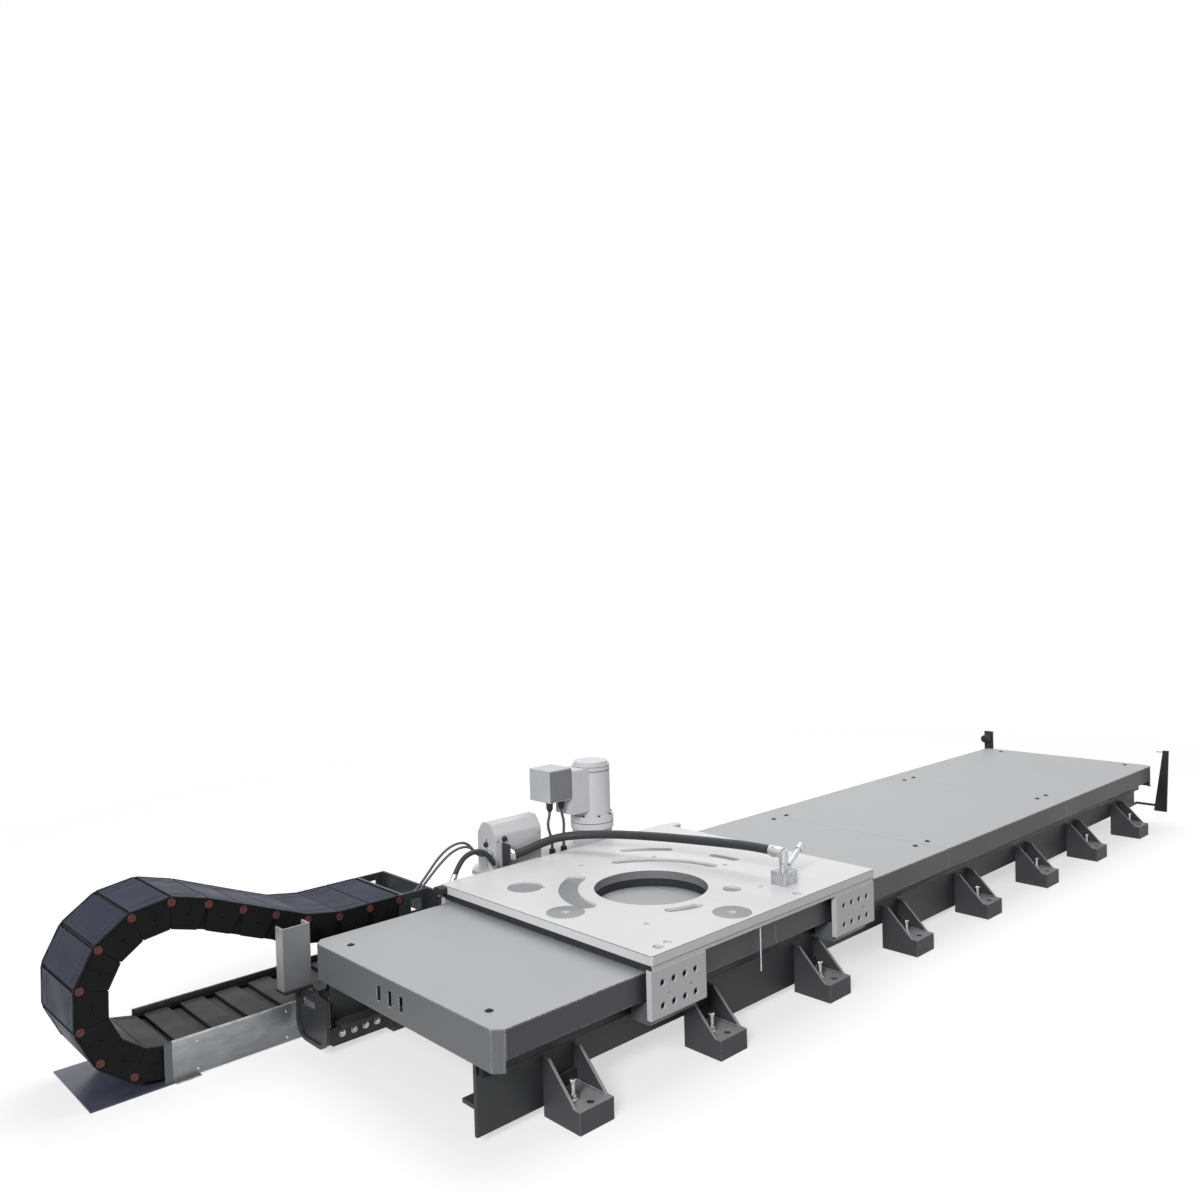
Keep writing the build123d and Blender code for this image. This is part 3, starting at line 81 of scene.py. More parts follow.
# Hoses and cables
routes = {
    "carriageHose": {
        "node": "carriage_hose", "slot": "hose", "diameter": 34, "length": 1179,
        "points": [
            (903, 570, 440), (960, 570, 440), (1050, 572, 456), (1138, 548, 472), (1210, 460, 482),
            (1270, 330, 492), (1315, 170, 501), (1345, 10, 510), (1370, -140, 517), (1388, -270, 522),
            (1388, -342, 522),
        ],
    },
    "shortHose": {
        "node": "short_hose", "slot": "hose", "diameter": 20, "length": 246,
        "points": [
            (631, 576, 420.0), (656, 576, 463.3), (699.3, 576, 488.3), (749.3, 576, 488.3),
            (792.6, 576, 463.3), (817.6, 576, 420.0),
        ],
    },
    "signalCableA": {
        "node": "signal_cable_a", "slot": "cable", "diameter": 10, "length": 454,
        "points": [
            (441, 620, 365), (482, 620, 365), (536, 612, 420), (590, 604, 472), (642, 596, 508),
            (700, 594, 514), (746, 606, 486), (780, 620, 450), (819, 620, 450),
        ],
    },
    "signalCableB": {
        "node": "signal_cable_b", "slot": "cable", "diameter": 10, "length": 470,
        "points": [
            (441, 642, 365), (482, 642, 365), (536, 634, 420), (590, 626, 484), (642, 618, 520),
            (700, 616, 526), (746, 628, 498), (780, 642, 450), (819, 642, 450),
        ],
    },
    "motorPowerCable": {
        "node": "motor_power_cable", "slot": "cable", "diameter": 12, "length": 177,
        "points": [(1153, 625, 578), (1153, 625, 548), (1137, 625, 508), (1161, 625, 442), (1161, 625, 406)],
    },
    "motorSignalCable": {
        "node": "motor_signal_cable", "slot": "cable", "diameter": 12, "length": 174,
        "points": [(1217, 625, 578), (1217, 625, 548), (1231, 625, 508), (1225, 625, 442), (1225, 625, 406)],
    },
}


def inFrame(point):
    return (bedNear + point[0] / 1000, point[1] / 1000, point[2] / 1000)


def layCord(name, route):
    curve = bpy.data.curves.new(name, "CURVE")
    curve.dimensions = "3D"
    curve.bevel_depth = 1.0  # the points' own radius makes the thickness, so that the curve's box is true
    curve.bevel_resolution = 6
    curve.resolution_u = 10
    curve.use_fill_caps = True
    spline = curve.splines.new("NURBS")
    spline.points.add(len(route["points"]) - 1)
    for control, point in zip(spline.points, route["points"]):
        control.co = inFrame(point) + (1,)
        control.radius = route["diameter"] / 2000
    spline.order_u = 3
    spline.use_endpoint_u = True
    cord = addObject(name, curve)
    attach(cord, "carriage")
    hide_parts(route["node"])
    return cord


cords = {name: layCord(name, route) for name, route in routes.items()}
print("hoses and cables laid")


# Node and mesh helpers
def linearColour(code):
    parts = [int(code[i:i + 2], 16) / 255 for i in (1, 3, 5)]
    return tuple(c / 12.92 if c <= 0.04045 else ((c + 0.055) / 1.055) ** 2.4 for c in parts) + (1.0,)


def linkInto(tree, node, links):
    # A node given as a source stands for its first output
    for socket, source in links.items():
        if isinstance(source, bpy.types.Node):
            source = source.outputs[0]
        tree.links.new(source, node.inputs[socket])


def addNode(tree, kind, values=None, links=None, **settings):
    node = tree.nodes.new(kind)
    for key, value in settings.items():
        setattr(node, key, value)
    for socket, value in (values or {}).items():
        node.inputs[socket].default_value = value
    linkInto(tree, node, links or {})
    return node


def newMaterial(name, roughness, metallic=0.0):
    material = bpy.data.materials.new(name)
    material.use_nodes = True
    tree = material.node_tree
    shader = tree.nodes["Principled BSDF"]
    shader.inputs["Roughness"].default_value = roughness
    shader.inputs["Metallic"].default_value = metallic
    return material, tree, shader


def meshPiece(name, mesh, body, material, nodeNames=()):
    piece = addObject(name, mesh)
    if material is not None:
        mesh.materials.clear()
        mesh.materials.append(material)
    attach(piece, body)
    if nodeNames:
        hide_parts(*nodeNames)


# Materials
def layColours(tree, ground, layers):
    # Lays each colour over what is below by its own share. The ground is a hex value, node or socket.
    for code, share in layers:
        values, links = {7: linearColour(code)}, {0: share}
        if isinstance(ground, str):
            values[6] = linearColour(ground)
        else:
            links[6] = ground
        ground = addNode(tree, "ShaderNodeMix", values, links, data_type="RGBA").outputs[2]
    return ground


def wornAndHighlitCorners(tree, look, facing):
    # The normal of rounded edges, and how much wear and painted highlight they take: 0 on a face, the look's
    # share at a corner
    softened = addNode(tree, "ShaderNodeBevel", {"Radius": look["edge"]}, samples=4)
    bend = addNode(tree, "ShaderNodeVectorMath", None, {0: softened, 1: facing}, operation="DOT_PRODUCT")
    corner = addNode(tree, "ShaderNodeMapRange", {
        "From Min": 0.985, "From Max": 0.8, "To Min": 0.0, "To Max": look["wearAndHighlight"],
    }, {"Value": bend.outputs["Value"]})
    return softened, corner


def joinShader(tree, shader, look, colour, patches, spread, depth, relief):
    # Roughness follows the patches of tone; the fine texture is a relief of the given depth in metres
    rough = addNode(tree, "ShaderNodeMapRange", {
        "From Min": 0.3, "From Max": 0.7,
        "To Min": look["rough"] + spread[0], "To Max": look["rough"] + spread[1],
    }, {"Value": patches})
    bump = addNode(tree, "ShaderNodeBump", {"Strength": look["bump"], "Distance": depth}, relief)
    linkInto(tree, shader, {"Base Color": colour, "Roughness": rough, "Normal": bump})


def paintedMetal(name, look):
    # Sprayed or powder coated steel: soft orange peel, cloudy tone, corners lightened by wear and painted
    # highlight, dust and painted light on level faces. Upright faces and flanks may each take a colour of
    # their own, painted shade where it darkens one paint; floors below a level and a bore's wall take darker
    # colours as painted shade.
    material, tree, shader = newMaterial(name, look["rough"])
    where = addNode(tree, "ShaderNodeTexCoord").outputs["Object"]
    facing = addNode(tree, "ShaderNodeNewGeometry").outputs["True Normal"]
    cloud, peel = (
        addNode(tree, "ShaderNodeTexNoise", {"Scale": 1 / look[key], "Detail": detail}, {"Vector": where})
        for key, detail in (("cloud", 4.0), ("peel", 2.0))
    )
    turned = addNode(tree, "ShaderNodeSeparateXYZ", None, {0: facing})
    placed = addNode(tree, "ShaderNodeSeparateXYZ", None, {0: where})
    upper = addNode(tree, "ShaderNodeMapRange", {"From Min": 0.35, "From Max": 0.65}, {
        "Value": turned.outputs["Z"],
    })
    across = addNode(tree, "ShaderNodeMath", None, {0: turned.outputs["Y"]}, operation="ABSOLUTE")
    flank = addNode(tree, "ShaderNodeMath", {1: 0.8}, {0: across}, operation="GREATER_THAN")
    sunken = addNode(tree, "ShaderNodeMath", {1: look["shadeBelow"]}, {
        0: placed.outputs["Z"],
    }, operation="LESS_THAN")
    shadedFloor = addNode(tree, "ShaderNodeMath", None, {0: sunken, 1: upper}, operation="MULTIPLY")
    # Sides and flanks take colours of their own by the way each face looks, painted shade where a look
    # darkens one paint so; upward floors below a level take a darker colour as painted shade
    sideColour = look.get("sideColour", look["colour"])
    layers = [
        (look.get("flankColour", sideColour), flank), (look["colour"], upper),
        (look.get("shadeBelowColour", look["colour"]), shadedFloor),
    ]
    # A bore's wall in a darker colour: painted shade inside the bore
    if "bore" in look:
        level = addNode(tree, "ShaderNodeCombineXYZ", None, {
            "X": placed.outputs["X"], "Y": placed.outputs["Y"],
        })
        away = addNode(tree, "ShaderNodeVectorMath", {1: look["bore"]}, {0: level}, operation="DISTANCE")
        wall = addNode(tree, "ShaderNodeMath", {1: look["boreRadius"]}, {
            0: away.outputs["Value"],
        }, operation="LESS_THAN")
        layers.append((look["boreColour"], wall))
    tone = addNode(tree, "ShaderNodeMapRange", {
        "From Min": 0.3, "From Max": 0.7, "To Min": 1 - look["vary"], "To Max": 1 + look["vary"],
    }, {"Value": cloud})
    # Darker towards the bottom where a look sets shade: painted shade
    lowZ, highZ, lowShare = look["shade"]
    shaded = addNode(tree, "ShaderNodeMapRange", {
        "From Min": lowZ, "From Max": highZ, "To Min": lowShare, "To Max": 1.0,
    }, {"Value": placed.outputs["Z"]})
    tinted = addNode(tree, "ShaderNodeMath", None, {0: tone, 1: shaded}, operation="MULTIPLY")
    coat = addNode(tree, "ShaderNodeVectorMath", None, {
        0: layColours(tree, sideColour, layers), "Scale": tinted,
    }, operation="SCALE")
    # Corners lightened: wear, and a painted highlight
    softened, corner = wornAndHighlitCorners(tree, look, facing)
    patchy = addNode(tree, "ShaderNodeMapRange", {
        "From Min": 0.42, "From Max": 0.6, "To Min": 0.25, "To Max": 1.0,
    }, {"Value": peel})
    edgeWearAndHighlight = addNode(tree, "ShaderNodeMath", None, {0: corner, 1: patchy}, operation="MULTIPLY")
    # Faces that look up lightened: dust, and painted light on lit tops
    dustAndTopLightMask = addNode(tree, "ShaderNodeMapRange", {
        "From Min": 0.6, "From Max": 1.0, "To Min": 0.0, "To Max": look["dustAndTopLight"],
    }, {"Value": turned.outputs["Z"]})
    dustAndTopLightPatches = addNode(tree, "ShaderNodeMath", None, {0: dustAndTopLightMask, 1: cloud}, operation="MULTIPLY")
    colour = layColours(tree, coat, [(look["edgeColour"], edgeWearAndHighlight), (look["dustAndTopLightColour"], dustAndTopLightPatches)])
    relief = {"Height": peel, "Normal": softened}
    joinShader(tree, shader, look, colour, cloud, (-0.06, 0.08), 0.0006, relief)
    return material


def bareMetal(name, look):
    # Uncoated metal: lay lines left by grinding or rolling, stretched along the track, over a cloudy
    # sheen. foot is the share of the colour left at the floor: painted shade, darker towards the bottom.
    material, tree, shader = newMaterial(name, look["rough"], 1.0)
    where = addNode(tree, "ShaderNodeTexCoord").outputs["Object"]
    stretched = addNode(tree, "ShaderNodeMapping", {"Scale": look["stretch"]}, {"Vector": where})
    lay, cloud = (
        addNode(tree, "ShaderNodeTexNoise", {"Scale": 1 / look[key], "Detail": 3.0}, {"Vector": place})
        for key, place in (("grain", stretched), ("cloud", where))
    )
    half = addNode(tree, "ShaderNodeMath", {1: 0.5}, {0: lay}, operation="MULTIPLY")
    both = addNode(tree, "ShaderNodeMath", {1: 0.5}, {0: cloud, 2: half}, operation="MULTIPLY_ADD")
    tint = addNode(tree, "ShaderNodeMapRange", {"From Min": 0.35, "From Max": 0.65}, {"Value": both})
    placed = addNode(tree, "ShaderNodeSeparateXYZ", None, {0: where})
    # Darker towards the floor by the share foot: painted shade
    foot = addNode(tree, "ShaderNodeMapRange", {
        "From Min": 0.0, "From Max": 0.12, "To Min": look["foot"], "To Max": 1.0,
    }, {"Value": placed.outputs["Z"]})
    colour = layColours(tree, look["dark"], [(look["light"], tint)])
    shaded = addNode(tree, "ShaderNodeVectorMath", None, {0: colour, "Scale": foot}, operation="SCALE")
    spread = (look["spread"], -look["spread"])
    joinShader(tree, shader, look, shaded, lay, spread, 0.0004, {"Height": lay})
    return material


def mouldedPlastic(name, look):
    # Injection moulded plastic or rubber: fine eroded grain, corners that turn pale as scuffs and painted
    # highlight, a faint cloud from the flow.
    material, tree, shader = newMaterial(name, look["rough"])
    shader.inputs["Specular IOR Level"].default_value = look["gloss"]
    where = addNode(tree, "ShaderNodeTexCoord").outputs["Object"]
    facing = addNode(tree, "ShaderNodeNewGeometry").outputs["True Normal"]
    grain, flow = (
        addNode(tree, "ShaderNodeTexNoise", {"Scale": 1 / look[key], "Detail": detail}, {"Vector": where})
        for key, detail in (("grain", 3.0), ("cloud", 2.0))
    )
    softened, corner = wornAndHighlitCorners(tree, look, facing)
    tone = addNode(tree, "ShaderNodeMapRange", {
        "From Min": 0.3, "From Max": 0.7, "To Min": 1 - look["vary"], "To Max": 1 + look["vary"],
    }, {"Value": flow})
    plain = {0: linearColour(look["colour"])[:3]}
    base = addNode(tree, "ShaderNodeVectorMath", plain, {"Scale": tone}, operation="SCALE")
    # Corners lightened: scuffs, and a painted highlight
    colour = layColours(tree, base, [(look["edgeColour"], corner)])
    relief = {"Height": grain, "Normal": softened}
    joinShader(tree, shader, look, colour, flow, (-0.07, 0.07), 0.0005, relief)
    return material


# Sizes in metres: cloud is a patch of tone, peel or grain the fine texture, drawn coarser than the real
# 1 to 2 mm so that it shows at 4 mm a pixel, and edge the rounding of a corner.
paintBase = {
    "cloud": 0.12, "peel": 0.004, "vary": 0.1, "bump": 0.2, "edge": 0.003, "wearAndHighlight": 0.5, "dustAndTopLight": 0.1,
    "dustAndTopLightColour": "#cfcecb", "shadeBelow": -1.0, "shade": (-1.0, 0.0, 1.0),
}
enamel = {  # smooth stove enamel, almost clean
    "colour": "#e4e4e6", "rough": 0.36, "cloud": 0.35, "peel": 0.005, "vary": 0.03, "bump": 0.1,
    "edgeColour": "#f4f4f4", "dustAndTopLight": 0.06,
}
paints = {
    "charcoalBeamPaint": {  # primer on rolled steel: dull, uneven, dusty on top
        "colour": "#2b2c2e", "rough": 0.5, "cloud": 0.14, "peel": 0.006, "vary": 0.22, "bump": 0.18,
        "wearAndHighlight": 0.45, "edgeColour": "#7d7f82", "dustAndTopLight": 0.3, "dustAndTopLightColour": "#8b8a86",
        "nodes": ["right_side_beam", "left_side_beam", "cross_members", "far_stop_bracket"],
    },
    "footCastingPaint": {  # thick matt paint on a rough casting: pale tops and dark sides are painted light and shade, with dust on top
        "colour": "#a0a0a4", "sideColour": "#46464a", "rough": 0.58, "cloud": 0.09, "peel": 0.005,
        "vary": 0.12, "bump": 0.35, "edge": 0.004, "wearAndHighlight": 0.8, "edgeColour": "#bdbdc0", "dustAndTopLight": 0.55,
        "dustAndTopLightColour": "#b3b2ae", "nodes": ["floor_feet", "rack_brackets"],
    },
    "coverPowderCoat": {  # powder coat on folded sheet: even, satin, a painted highlight along each fold
        "colour": "#b1b2b4", "sideColour": "#727376", "flankColour": "#3f3f42", "rough": 0.42,
        "cloud": 0.6, "peel": 0.006, "vary": 0.025, "bump": 0.08, "edge": 0.009, "wearAndHighlight": 1.0,
        "edgeColour": "#e2e3e5", "dustAndTopLightColour": "#cfceca",
        "nodes": ["cover_near", "cover_second", "cover_third", "cover_far"],
    },
    "carriageEnamel": {
        # The flanks take a slightly darker colour: painted shade
        **enamel, "flankColour": "#d4d4d6",
        "nodes": [
            "near_right_bracket", "near_left_bracket", "far_right_bracket", "far_left_bracket",
            "side_shelf", "striker",
        ],
    },
    "milledPlateEnamel": {  # enamel; the floors of the milled pockets and the bore's wall are darker grey, painted shade
        **enamel, "colour": "#e7e7e8", "edgeColour": "#f6f6f6", "dustAndTopLight": 0.05, "dustAndTopLightColour": "#d8d7d4",
        "shadeBelow": 0.4113, "shadeBelowColour": "#8d8e91",
        "bore": (*boreCentre, 0.0), "boreRadius": 0.2068, "boreColour": "#808186",
        "nodes": ["carriage_plate"],
    },
    "wornSeatEnamel": {  # grey enamel on two discs round bolt holes: painted shade that stands for shallow pockets
        "colour": "#929396", "rough": 0.44, "cloud": 0.05, "bump": 0.1, "edge": 0.002, "wearAndHighlight": 0.6,
        "edgeColour": "#d9d9da",
    },
    "seatEnamel": {  # enamel, with painted shade on its upward faces below the first plate, where the second plate shows through the first
        **enamel, "shadeBelow": 0.3825, "shadeBelowColour": "#3c3d40", "nodes": ["carriage_frame"],
    },
    "shoeHousingPaint": {  # satin grey on small castings
        "colour": "#6e7175", "rough": 0.45, "vary": 0.06, "wearAndHighlight": 0.4, "edgeColour": "#a9abae",
        "dustAndTopLightColour": "#9b9a97",
        "nodes": ["near_right_shoe", "near_left_shoe", "far_right_shoe", "far_left_shoe"],
    },
    "blackPowderCoat": {  # black with a painted highlight on its edges
        "colour": "#202125", "rough": 0.42, "cloud": 0.15, "vary": 0.12, "edgeColour": "#6a6c70",
        "dustAndTopLight": 0.15, "dustAndTopLightColour": "#77767a", "nodes": ["near_stop_arm", "far_end_post"],
    },
    "floorPlatePaint": {  # glossy blue-grey, so that the plate mirrors the backdrop
        "colour": "#4a5064", "rough": 0.2, "peel": 0.005, "bump": 0.12, "edge": 0.002, "wearAndHighlight": 0.6,
        "edgeColour": "#9a9ca4", "dustAndTopLight": 0.25, "dustAndTopLightColour": "#84868f", "nodes": ["trough_floor_plate"],
    },
    "postPaint": {  # pale satin on folded sheet; painted shade darkens it towards its foot behind the stop arm, and on its wide flank
        "colour": "#b0b1b4", "flankColour": "#959699", "rough": 0.44, "cloud": 0.1, "vary": 0.05,
        "bump": 0.12, "shade": (0.12, 0.35, 0.35), "edge": 0.002, "wearAndHighlight": 0.6, "edgeColour": "#d0d1d4",
        "dustAndTopLightColour": "#bcbbb8", "nodes": ["near_stop_post"],
    },
    "towSteelPaint": {  # thin dark paint on welded plates
        "colour": "#303237", "rough": 0.46, "cloud": 0.1, "edge": 0.002, "edgeColour": "#77797d",
        "dustAndTopLight": 0.3, "dustAndTopLightColour": "#8a8b8e", "nodes": ["tow_bracket", "connector_bracket"],
    },
    "motorEnamel": {  # pale enamel on a cast housing: soft sheen, fine orange peel
        "colour": "#dcdce0", "rough": 0.38, "vary": 0.03, "bump": 0.15, "wearAndHighlight": 0.4,
        "edgeColour": "#f2f2f2", "dustAndTopLight": 0.06, "nodes": ["drive_motor", "gearbox"],
    },
}
metalBase = {
    "grain": 0.004, "cloud": 0.02, "stretch": (1.0, 1.0, 1.0), "bump": 0.1, "spread": 0.09, "foot": 1.0,
}
metals = {
    "oiledRailSteel": {  # ground along the track and darkened by oil
        "dark": "#1f2023", "light": "#3a3b3e", "rough": 0.42, "grain": 0.006, "cloud": 0.1,
        "stretch": (0.02, 1.0, 1.0), "nodes": ["right_guide_rail", "left_guide_rail"],
    },
    "groundSteel": {  # bright lines along the track
        "dark": "#6c6e71", "light": "#96989b", "rough": 0.36, "grain": 0.006, "cloud": 0.1,
        "stretch": (0.02, 1.0, 1.0), "nodes": ["toothed_rack", "drive_pinion", "output_shaft"],
    },
    "zincPlate": {  # bright and slightly mottled
        "dark": "#9a9c9e", "light": "#d3d4d2", "rough": 0.34,
        "nodes": ["levelling_screws", "stop_arm_bolts"],
    },
    "blackOxideSteel": {  # black with a dull sheen
        "dark": "#1d1e20", "light": "#3a3b3d", "rough": 0.45, "nodes": ["bracket_screws", "cover_screws"],
    },
    "galvanisedSheet": {  # large faint spangle, a blurred mirror of the floor
        "dark": "#8c8e91", "light": "#a6a8ab", "rough": 0.38, "grain": 0.02, "cloud": 0.45,
        # foot darkens the sheet towards the floor: painted shade
        "stretch": (0.3, 1.0, 1.0), "bump": 0.03, "spread": 0.03, "foot": 0.62,
        "nodes": ["chain_trough", "trough_straps"],
    },
    "anodisedAluminium": {  # pale and silky
        "dark": "#a9abae", "light": "#d6d8da", "rough": 0.42, "cloud": 0.03,
        "nodes": ["cable_glands", "valve_block", "valve_fittings", "sensor_rod", "far_sensor_pin"],
    },
}
plasticBase = {"gloss": 0.5, "grain": 0.004, "cloud": 0.03, "bump": 0.15, "edge": 0.002}
plastics = {
    "blackPolyamide": {  # glass filled: near black and dull
        "colour": "#141416", "rough": 0.58, "gloss": 0.15, "cloud": 0.05, "vary": 0.15, "bump": 0.25,
        "wearAndHighlight": 0.4, "edgeColour": "#3c3d42", "nodes": ["chain_side_plates"],
    },
    "chainLidPlastic": {  # dark blue-grey lids with a broad soft sheen
        "colour": "#252a3c", "rough": 0.46, "gloss": 0.1, "grain": 0.005, "cloud": 0.1, "vary": 0.18,
        "bump": 0.18, "wearAndHighlight": 0.6, "edgeColour": "#7b818c", "nodes": ["chain_lids"],
    },
    "crossbarPlastic": {  # the same plastic, greyed by dust inside the loop
        "colour": "#343537", "rough": 0.55, "grain": 0.005, "cloud": 0.08, "vary": 0.14, "bump": 0.22,
        "wearAndHighlight": 0.5, "edgeColour": "#77797c", "nodes": ["chain_crossbars"],
    },
    "redPinPlastic": {  # dull brick red
        "colour": "#5c2725", "rough": 0.52, "grain": 0.003, "cloud": 0.02, "vary": 0.12, "bump": 0.2,
        "edge": 0.0015, "wearAndHighlight": 0.3, "edgeColour": "#7a3c38", "nodes": ["chain_pins"],
    },
    "blackRubber": {  # matt, with a leathery grain
        "colour": "#26272a", "rough": 0.72, "vary": 0.12, "bump": 0.35, "wearAndHighlight": 0.3,
        "edgeColour": "#4b4c4f", "nodes": ["near_buffer", "far_buffer"],
    },
    "hoseRubber": {  # braided under the skin: black with a broad highlight
        "colour": "#2a2b2e", "rough": 0.56, "grain": 0.003, "vary": 0.15, "bump": 0.3,
        "edge": 0.0005, "wearAndHighlight": 0.0, "edgeColour": "#4b4c4f",
    },
    "cableSheath": {  # extruded and even
        "colour": "#5d6064", "rough": 0.5, "grain": 0.003, "vary": 0.08, "edge": 0.0005, "wearAndHighlight": 0.0,
        "edgeColour": "#8b8d90",
    },
    "paleHousingPlastic": {  # light grey with a fine eroded skin
        "colour": "#d6d6d9", "rough": 0.46, "cloud": 0.1, "vary": 0.03, "edge": 0.003, "wearAndHighlight": 0.4,
        "edgeColour": "#ececee", "nodes": ["junction_box"],
    },
    "connectorLidPlastic": {  # mid grey, duller than the box
        "colour": "#85868b", "rough": 0.5, "cloud": 0.06, "vary": 0.05, "bump": 0.2, "wearAndHighlight": 0.5,
        "edgeColour": "#b3b4b8",
    },
    "greyHousingPlastic": {  # light grey, a little cooler than the terminal housing
        "colour": "#cbccd0", "rough": 0.46, "cloud": 0.08, "vary": 0.04, "edge": 0.003, "wearAndHighlight": 0.5,
        "edgeColour": "#e0e0e3", "nodes": ["motor_connector_box"],
    },
}
materials = {}
for make, base, looks in (
    (paintedMetal, paintBase, paints), (bareMetal, metalBase, metals),
    (mouldedPlastic, plasticBase, plastics),
):
    for name, look in looks.items():
        materials[name] = make(name, {**base, **look})
        for member in look.get("nodes", ()):
            mesh = nodes[member].data
            mesh.materials.clear()
            mesh.materials.append(materials[name])
for name, route in routes.items():
    cords[name].data.materials.append(materials["hoseRubber" if route["slot"] == "hose" else "cableSheath"])
print("materials made:", len(materials))


# Shapes that repeat
def turnedInto(shape, rings, sides=24, place=None):
    # rings run from foot to head as (radius, height) or (radius, height, True) for a hexagon's corners
    loops = []
    for ring in rings:
        loop = []
        for n in range(sides):
            angle = 2 * math.pi * n / sides
            reach = ring[0]
            if len(ring) > 2:
                reach *= math.cos(math.pi / 6) / math.cos(angle % (math.pi / 3) - math.pi / 6)
            spot = Vector((reach * math.cos(angle), reach * math.sin(angle), ring[1]))
            loop.append(shape.verts.new(place @ spot if place else spot))
        loops.append(loop)
    for low, high in zip(loops, loops[1:]):
        for n in range(sides):
            shape.faces.new((low[n], low[(n + 1) % sides], high[(n + 1) % sides], high[n]))
    shape.faces.new(list(reversed(loops[0])))
    shape.faces.new(loops[-1])


def ringInto(shape, section, centre, sides):
    # section is closed, as (radius, height)
    turns = [2 * math.pi * n / sides for n in range(sides)]
    loops = [[
        shape.verts.new((centre[0] + radius * math.cos(turn), centre[1] + radius * math.sin(turn), z))
        for turn in turns
    ] for radius, z in section]
    for first, second in zip(loops, loops[1:] + loops[:1]):
        for n in range(sides):
            m = (n + 1) % sides
            shape.faces.new((first[n], first[m], second[m], second[n]))


def boxInto(shape, low, high):
    corners = [(x, y, z) for z in (low[2], high[2]) for y in (low[1], high[1]) for x in (low[0], high[0])]
    spots = [shape.verts.new(corner) for corner in corners]
    for face in ((0, 2, 3, 1), (4, 5, 7, 6), (0, 1, 5, 4), (2, 6, 7, 3), (0, 4, 6, 2), (1, 3, 7, 5)):
        shape.faces.new([spots[n] for n in face])


def shapeMesh(name, fill, rounding=0.0):
    # Folds under 40 degrees stay unrounded, and under 35 they are shaded smooth
    shape = bmesh.new()
    fill(shape)
    if rounding:
        sharp = [e for e in shape.edges if e.is_manifold and e.calc_face_angle(0) > math.radians(40)]
        bmesh.ops.bevel(shape, geom=sharp, offset=rounding, segments=2, affect="EDGES", clamp_overlap=True)
    bmesh.ops.recalc_face_normals(shape, faces=shape.faces)
    mesh = bpy.data.meshes.new(name)
    shape.to_mesh(mesh)
    shape.free()
    mesh.shade_smooth()
    mesh.set_sharp_from_angle(angle=math.radians(35))
    return mesh


def repeatTree():
    # Sets a copy of the template on each point, turned by the point's own angles, and spun by chance
    # where asked.
    tree = bpy.data.node_groups.new("repeatOnPoints", "GeometryNodeTree")
    for name, side, kind in (
        ("Geometry", "INPUT", "Geometry"), ("Template", "INPUT", "Object"), ("Width", "INPUT", "Float"),
        ("Height", "INPUT", "Float"), ("Spin", "INPUT", "Float"), ("Seed", "INPUT", "Int"),
        ("Finish", "INPUT", "Material"), ("Geometry", "OUTPUT", "Geometry"),
    ):
        tree.interface.new_socket(name, in_out=side, socket_type="NodeSocket" + kind)
    given = addNode(tree, "NodeGroupInput")
    template = addNode(tree, "GeometryNodeObjectInfo", None, {"Object": given.outputs["Template"]})
    angles = addNode(tree, "GeometryNodeInputNamedAttribute", {"Name": "turn"}, data_type="FLOAT_VECTOR")
    turn = addNode(tree, "FunctionNodeEulerToRotation", None, {0: angles})
    chance = addNode(tree, "FunctionNodeRandomValue", None, {
        "Max": given.outputs["Spin"], "Seed": given.outputs["Seed"],
    }, data_type="FLOAT")
    spin = addNode(tree, "ShaderNodeCombineXYZ", None, {"Z": chance.outputs[1]})
    spun = addNode(tree, "FunctionNodeEulerToRotation", None, {0: spin})
    both = addNode(tree, "FunctionNodeRotateRotation", None, {
        "Rotation": turn, "Rotate By": spun,
    }, rotation_space="LOCAL")
    size = addNode(tree, "ShaderNodeCombineXYZ", None, {
        "X": given.outputs["Width"], "Y": given.outputs["Width"], "Z": given.outputs["Height"],
    })
    copies = addNode(tree, "GeometryNodeInstanceOnPoints", None, {
        "Points": given.outputs["Geometry"], "Instance": template.outputs["Geometry"],
        "Rotation": both, "Scale": size,
    })
    real = addNode(tree, "GeometryNodeRealizeInstances", None, {"Geometry": copies})
    finish = addNode(tree, "GeometryNodeSetMaterial", None, {
        "Geometry": real, "Material": given.outputs["Finish"],
    })
    addNode(tree, "NodeGroupOutput", None, {"Geometry": finish})
    return tree


repeatOnPoints = repeatTree()


def repeatPiece(
    name, fill, places, finish, body, nodeNames=(), width=1.0, height=1.0, spin=0.0, seed=7,
    rounding=0.0,
):
    # places are (point, turn) pairs; all the copies become one mesh
    points = bpy.data.meshes.new(name)
    points.from_pydata([place for place, turn in places], [], [])
    turns = points.attributes.new("turn", "FLOAT_VECTOR", "POINT")
    for n, (place, turn) in enumerate(places):
        turns.data[n].vector = turn
    carrier = addObject(name + "Points", points)
    master = addObject(name + "Template", shapeMesh(name + "Template", fill, rounding))
    modifier = carrier.modifiers.new("repeat", "NODES")
    modifier.node_group = repeatOnPoints
    values = {
        "Template": master, "Width": width, "Height": height, "Spin": spin, "Seed": seed,
        "Finish": materials[finish],
    }
    for socket in repeatOnPoints.interface.items_tree:
        if socket.in_out == "INPUT" and socket.name in values:
            modifier[socket.identifier] = values[socket.name]
    seen = carrier.evaluated_get(bpy.context.evaluated_depsgraph_get())
    mesh = bpy.data.meshes.new_from_object(seen)
    mesh.name = name
    carrier.modifiers.clear()
    bpy.data.objects.remove(carrier)
    bpy.data.objects.remove(master)
    meshPiece(name, mesh, body, None, nodeNames)


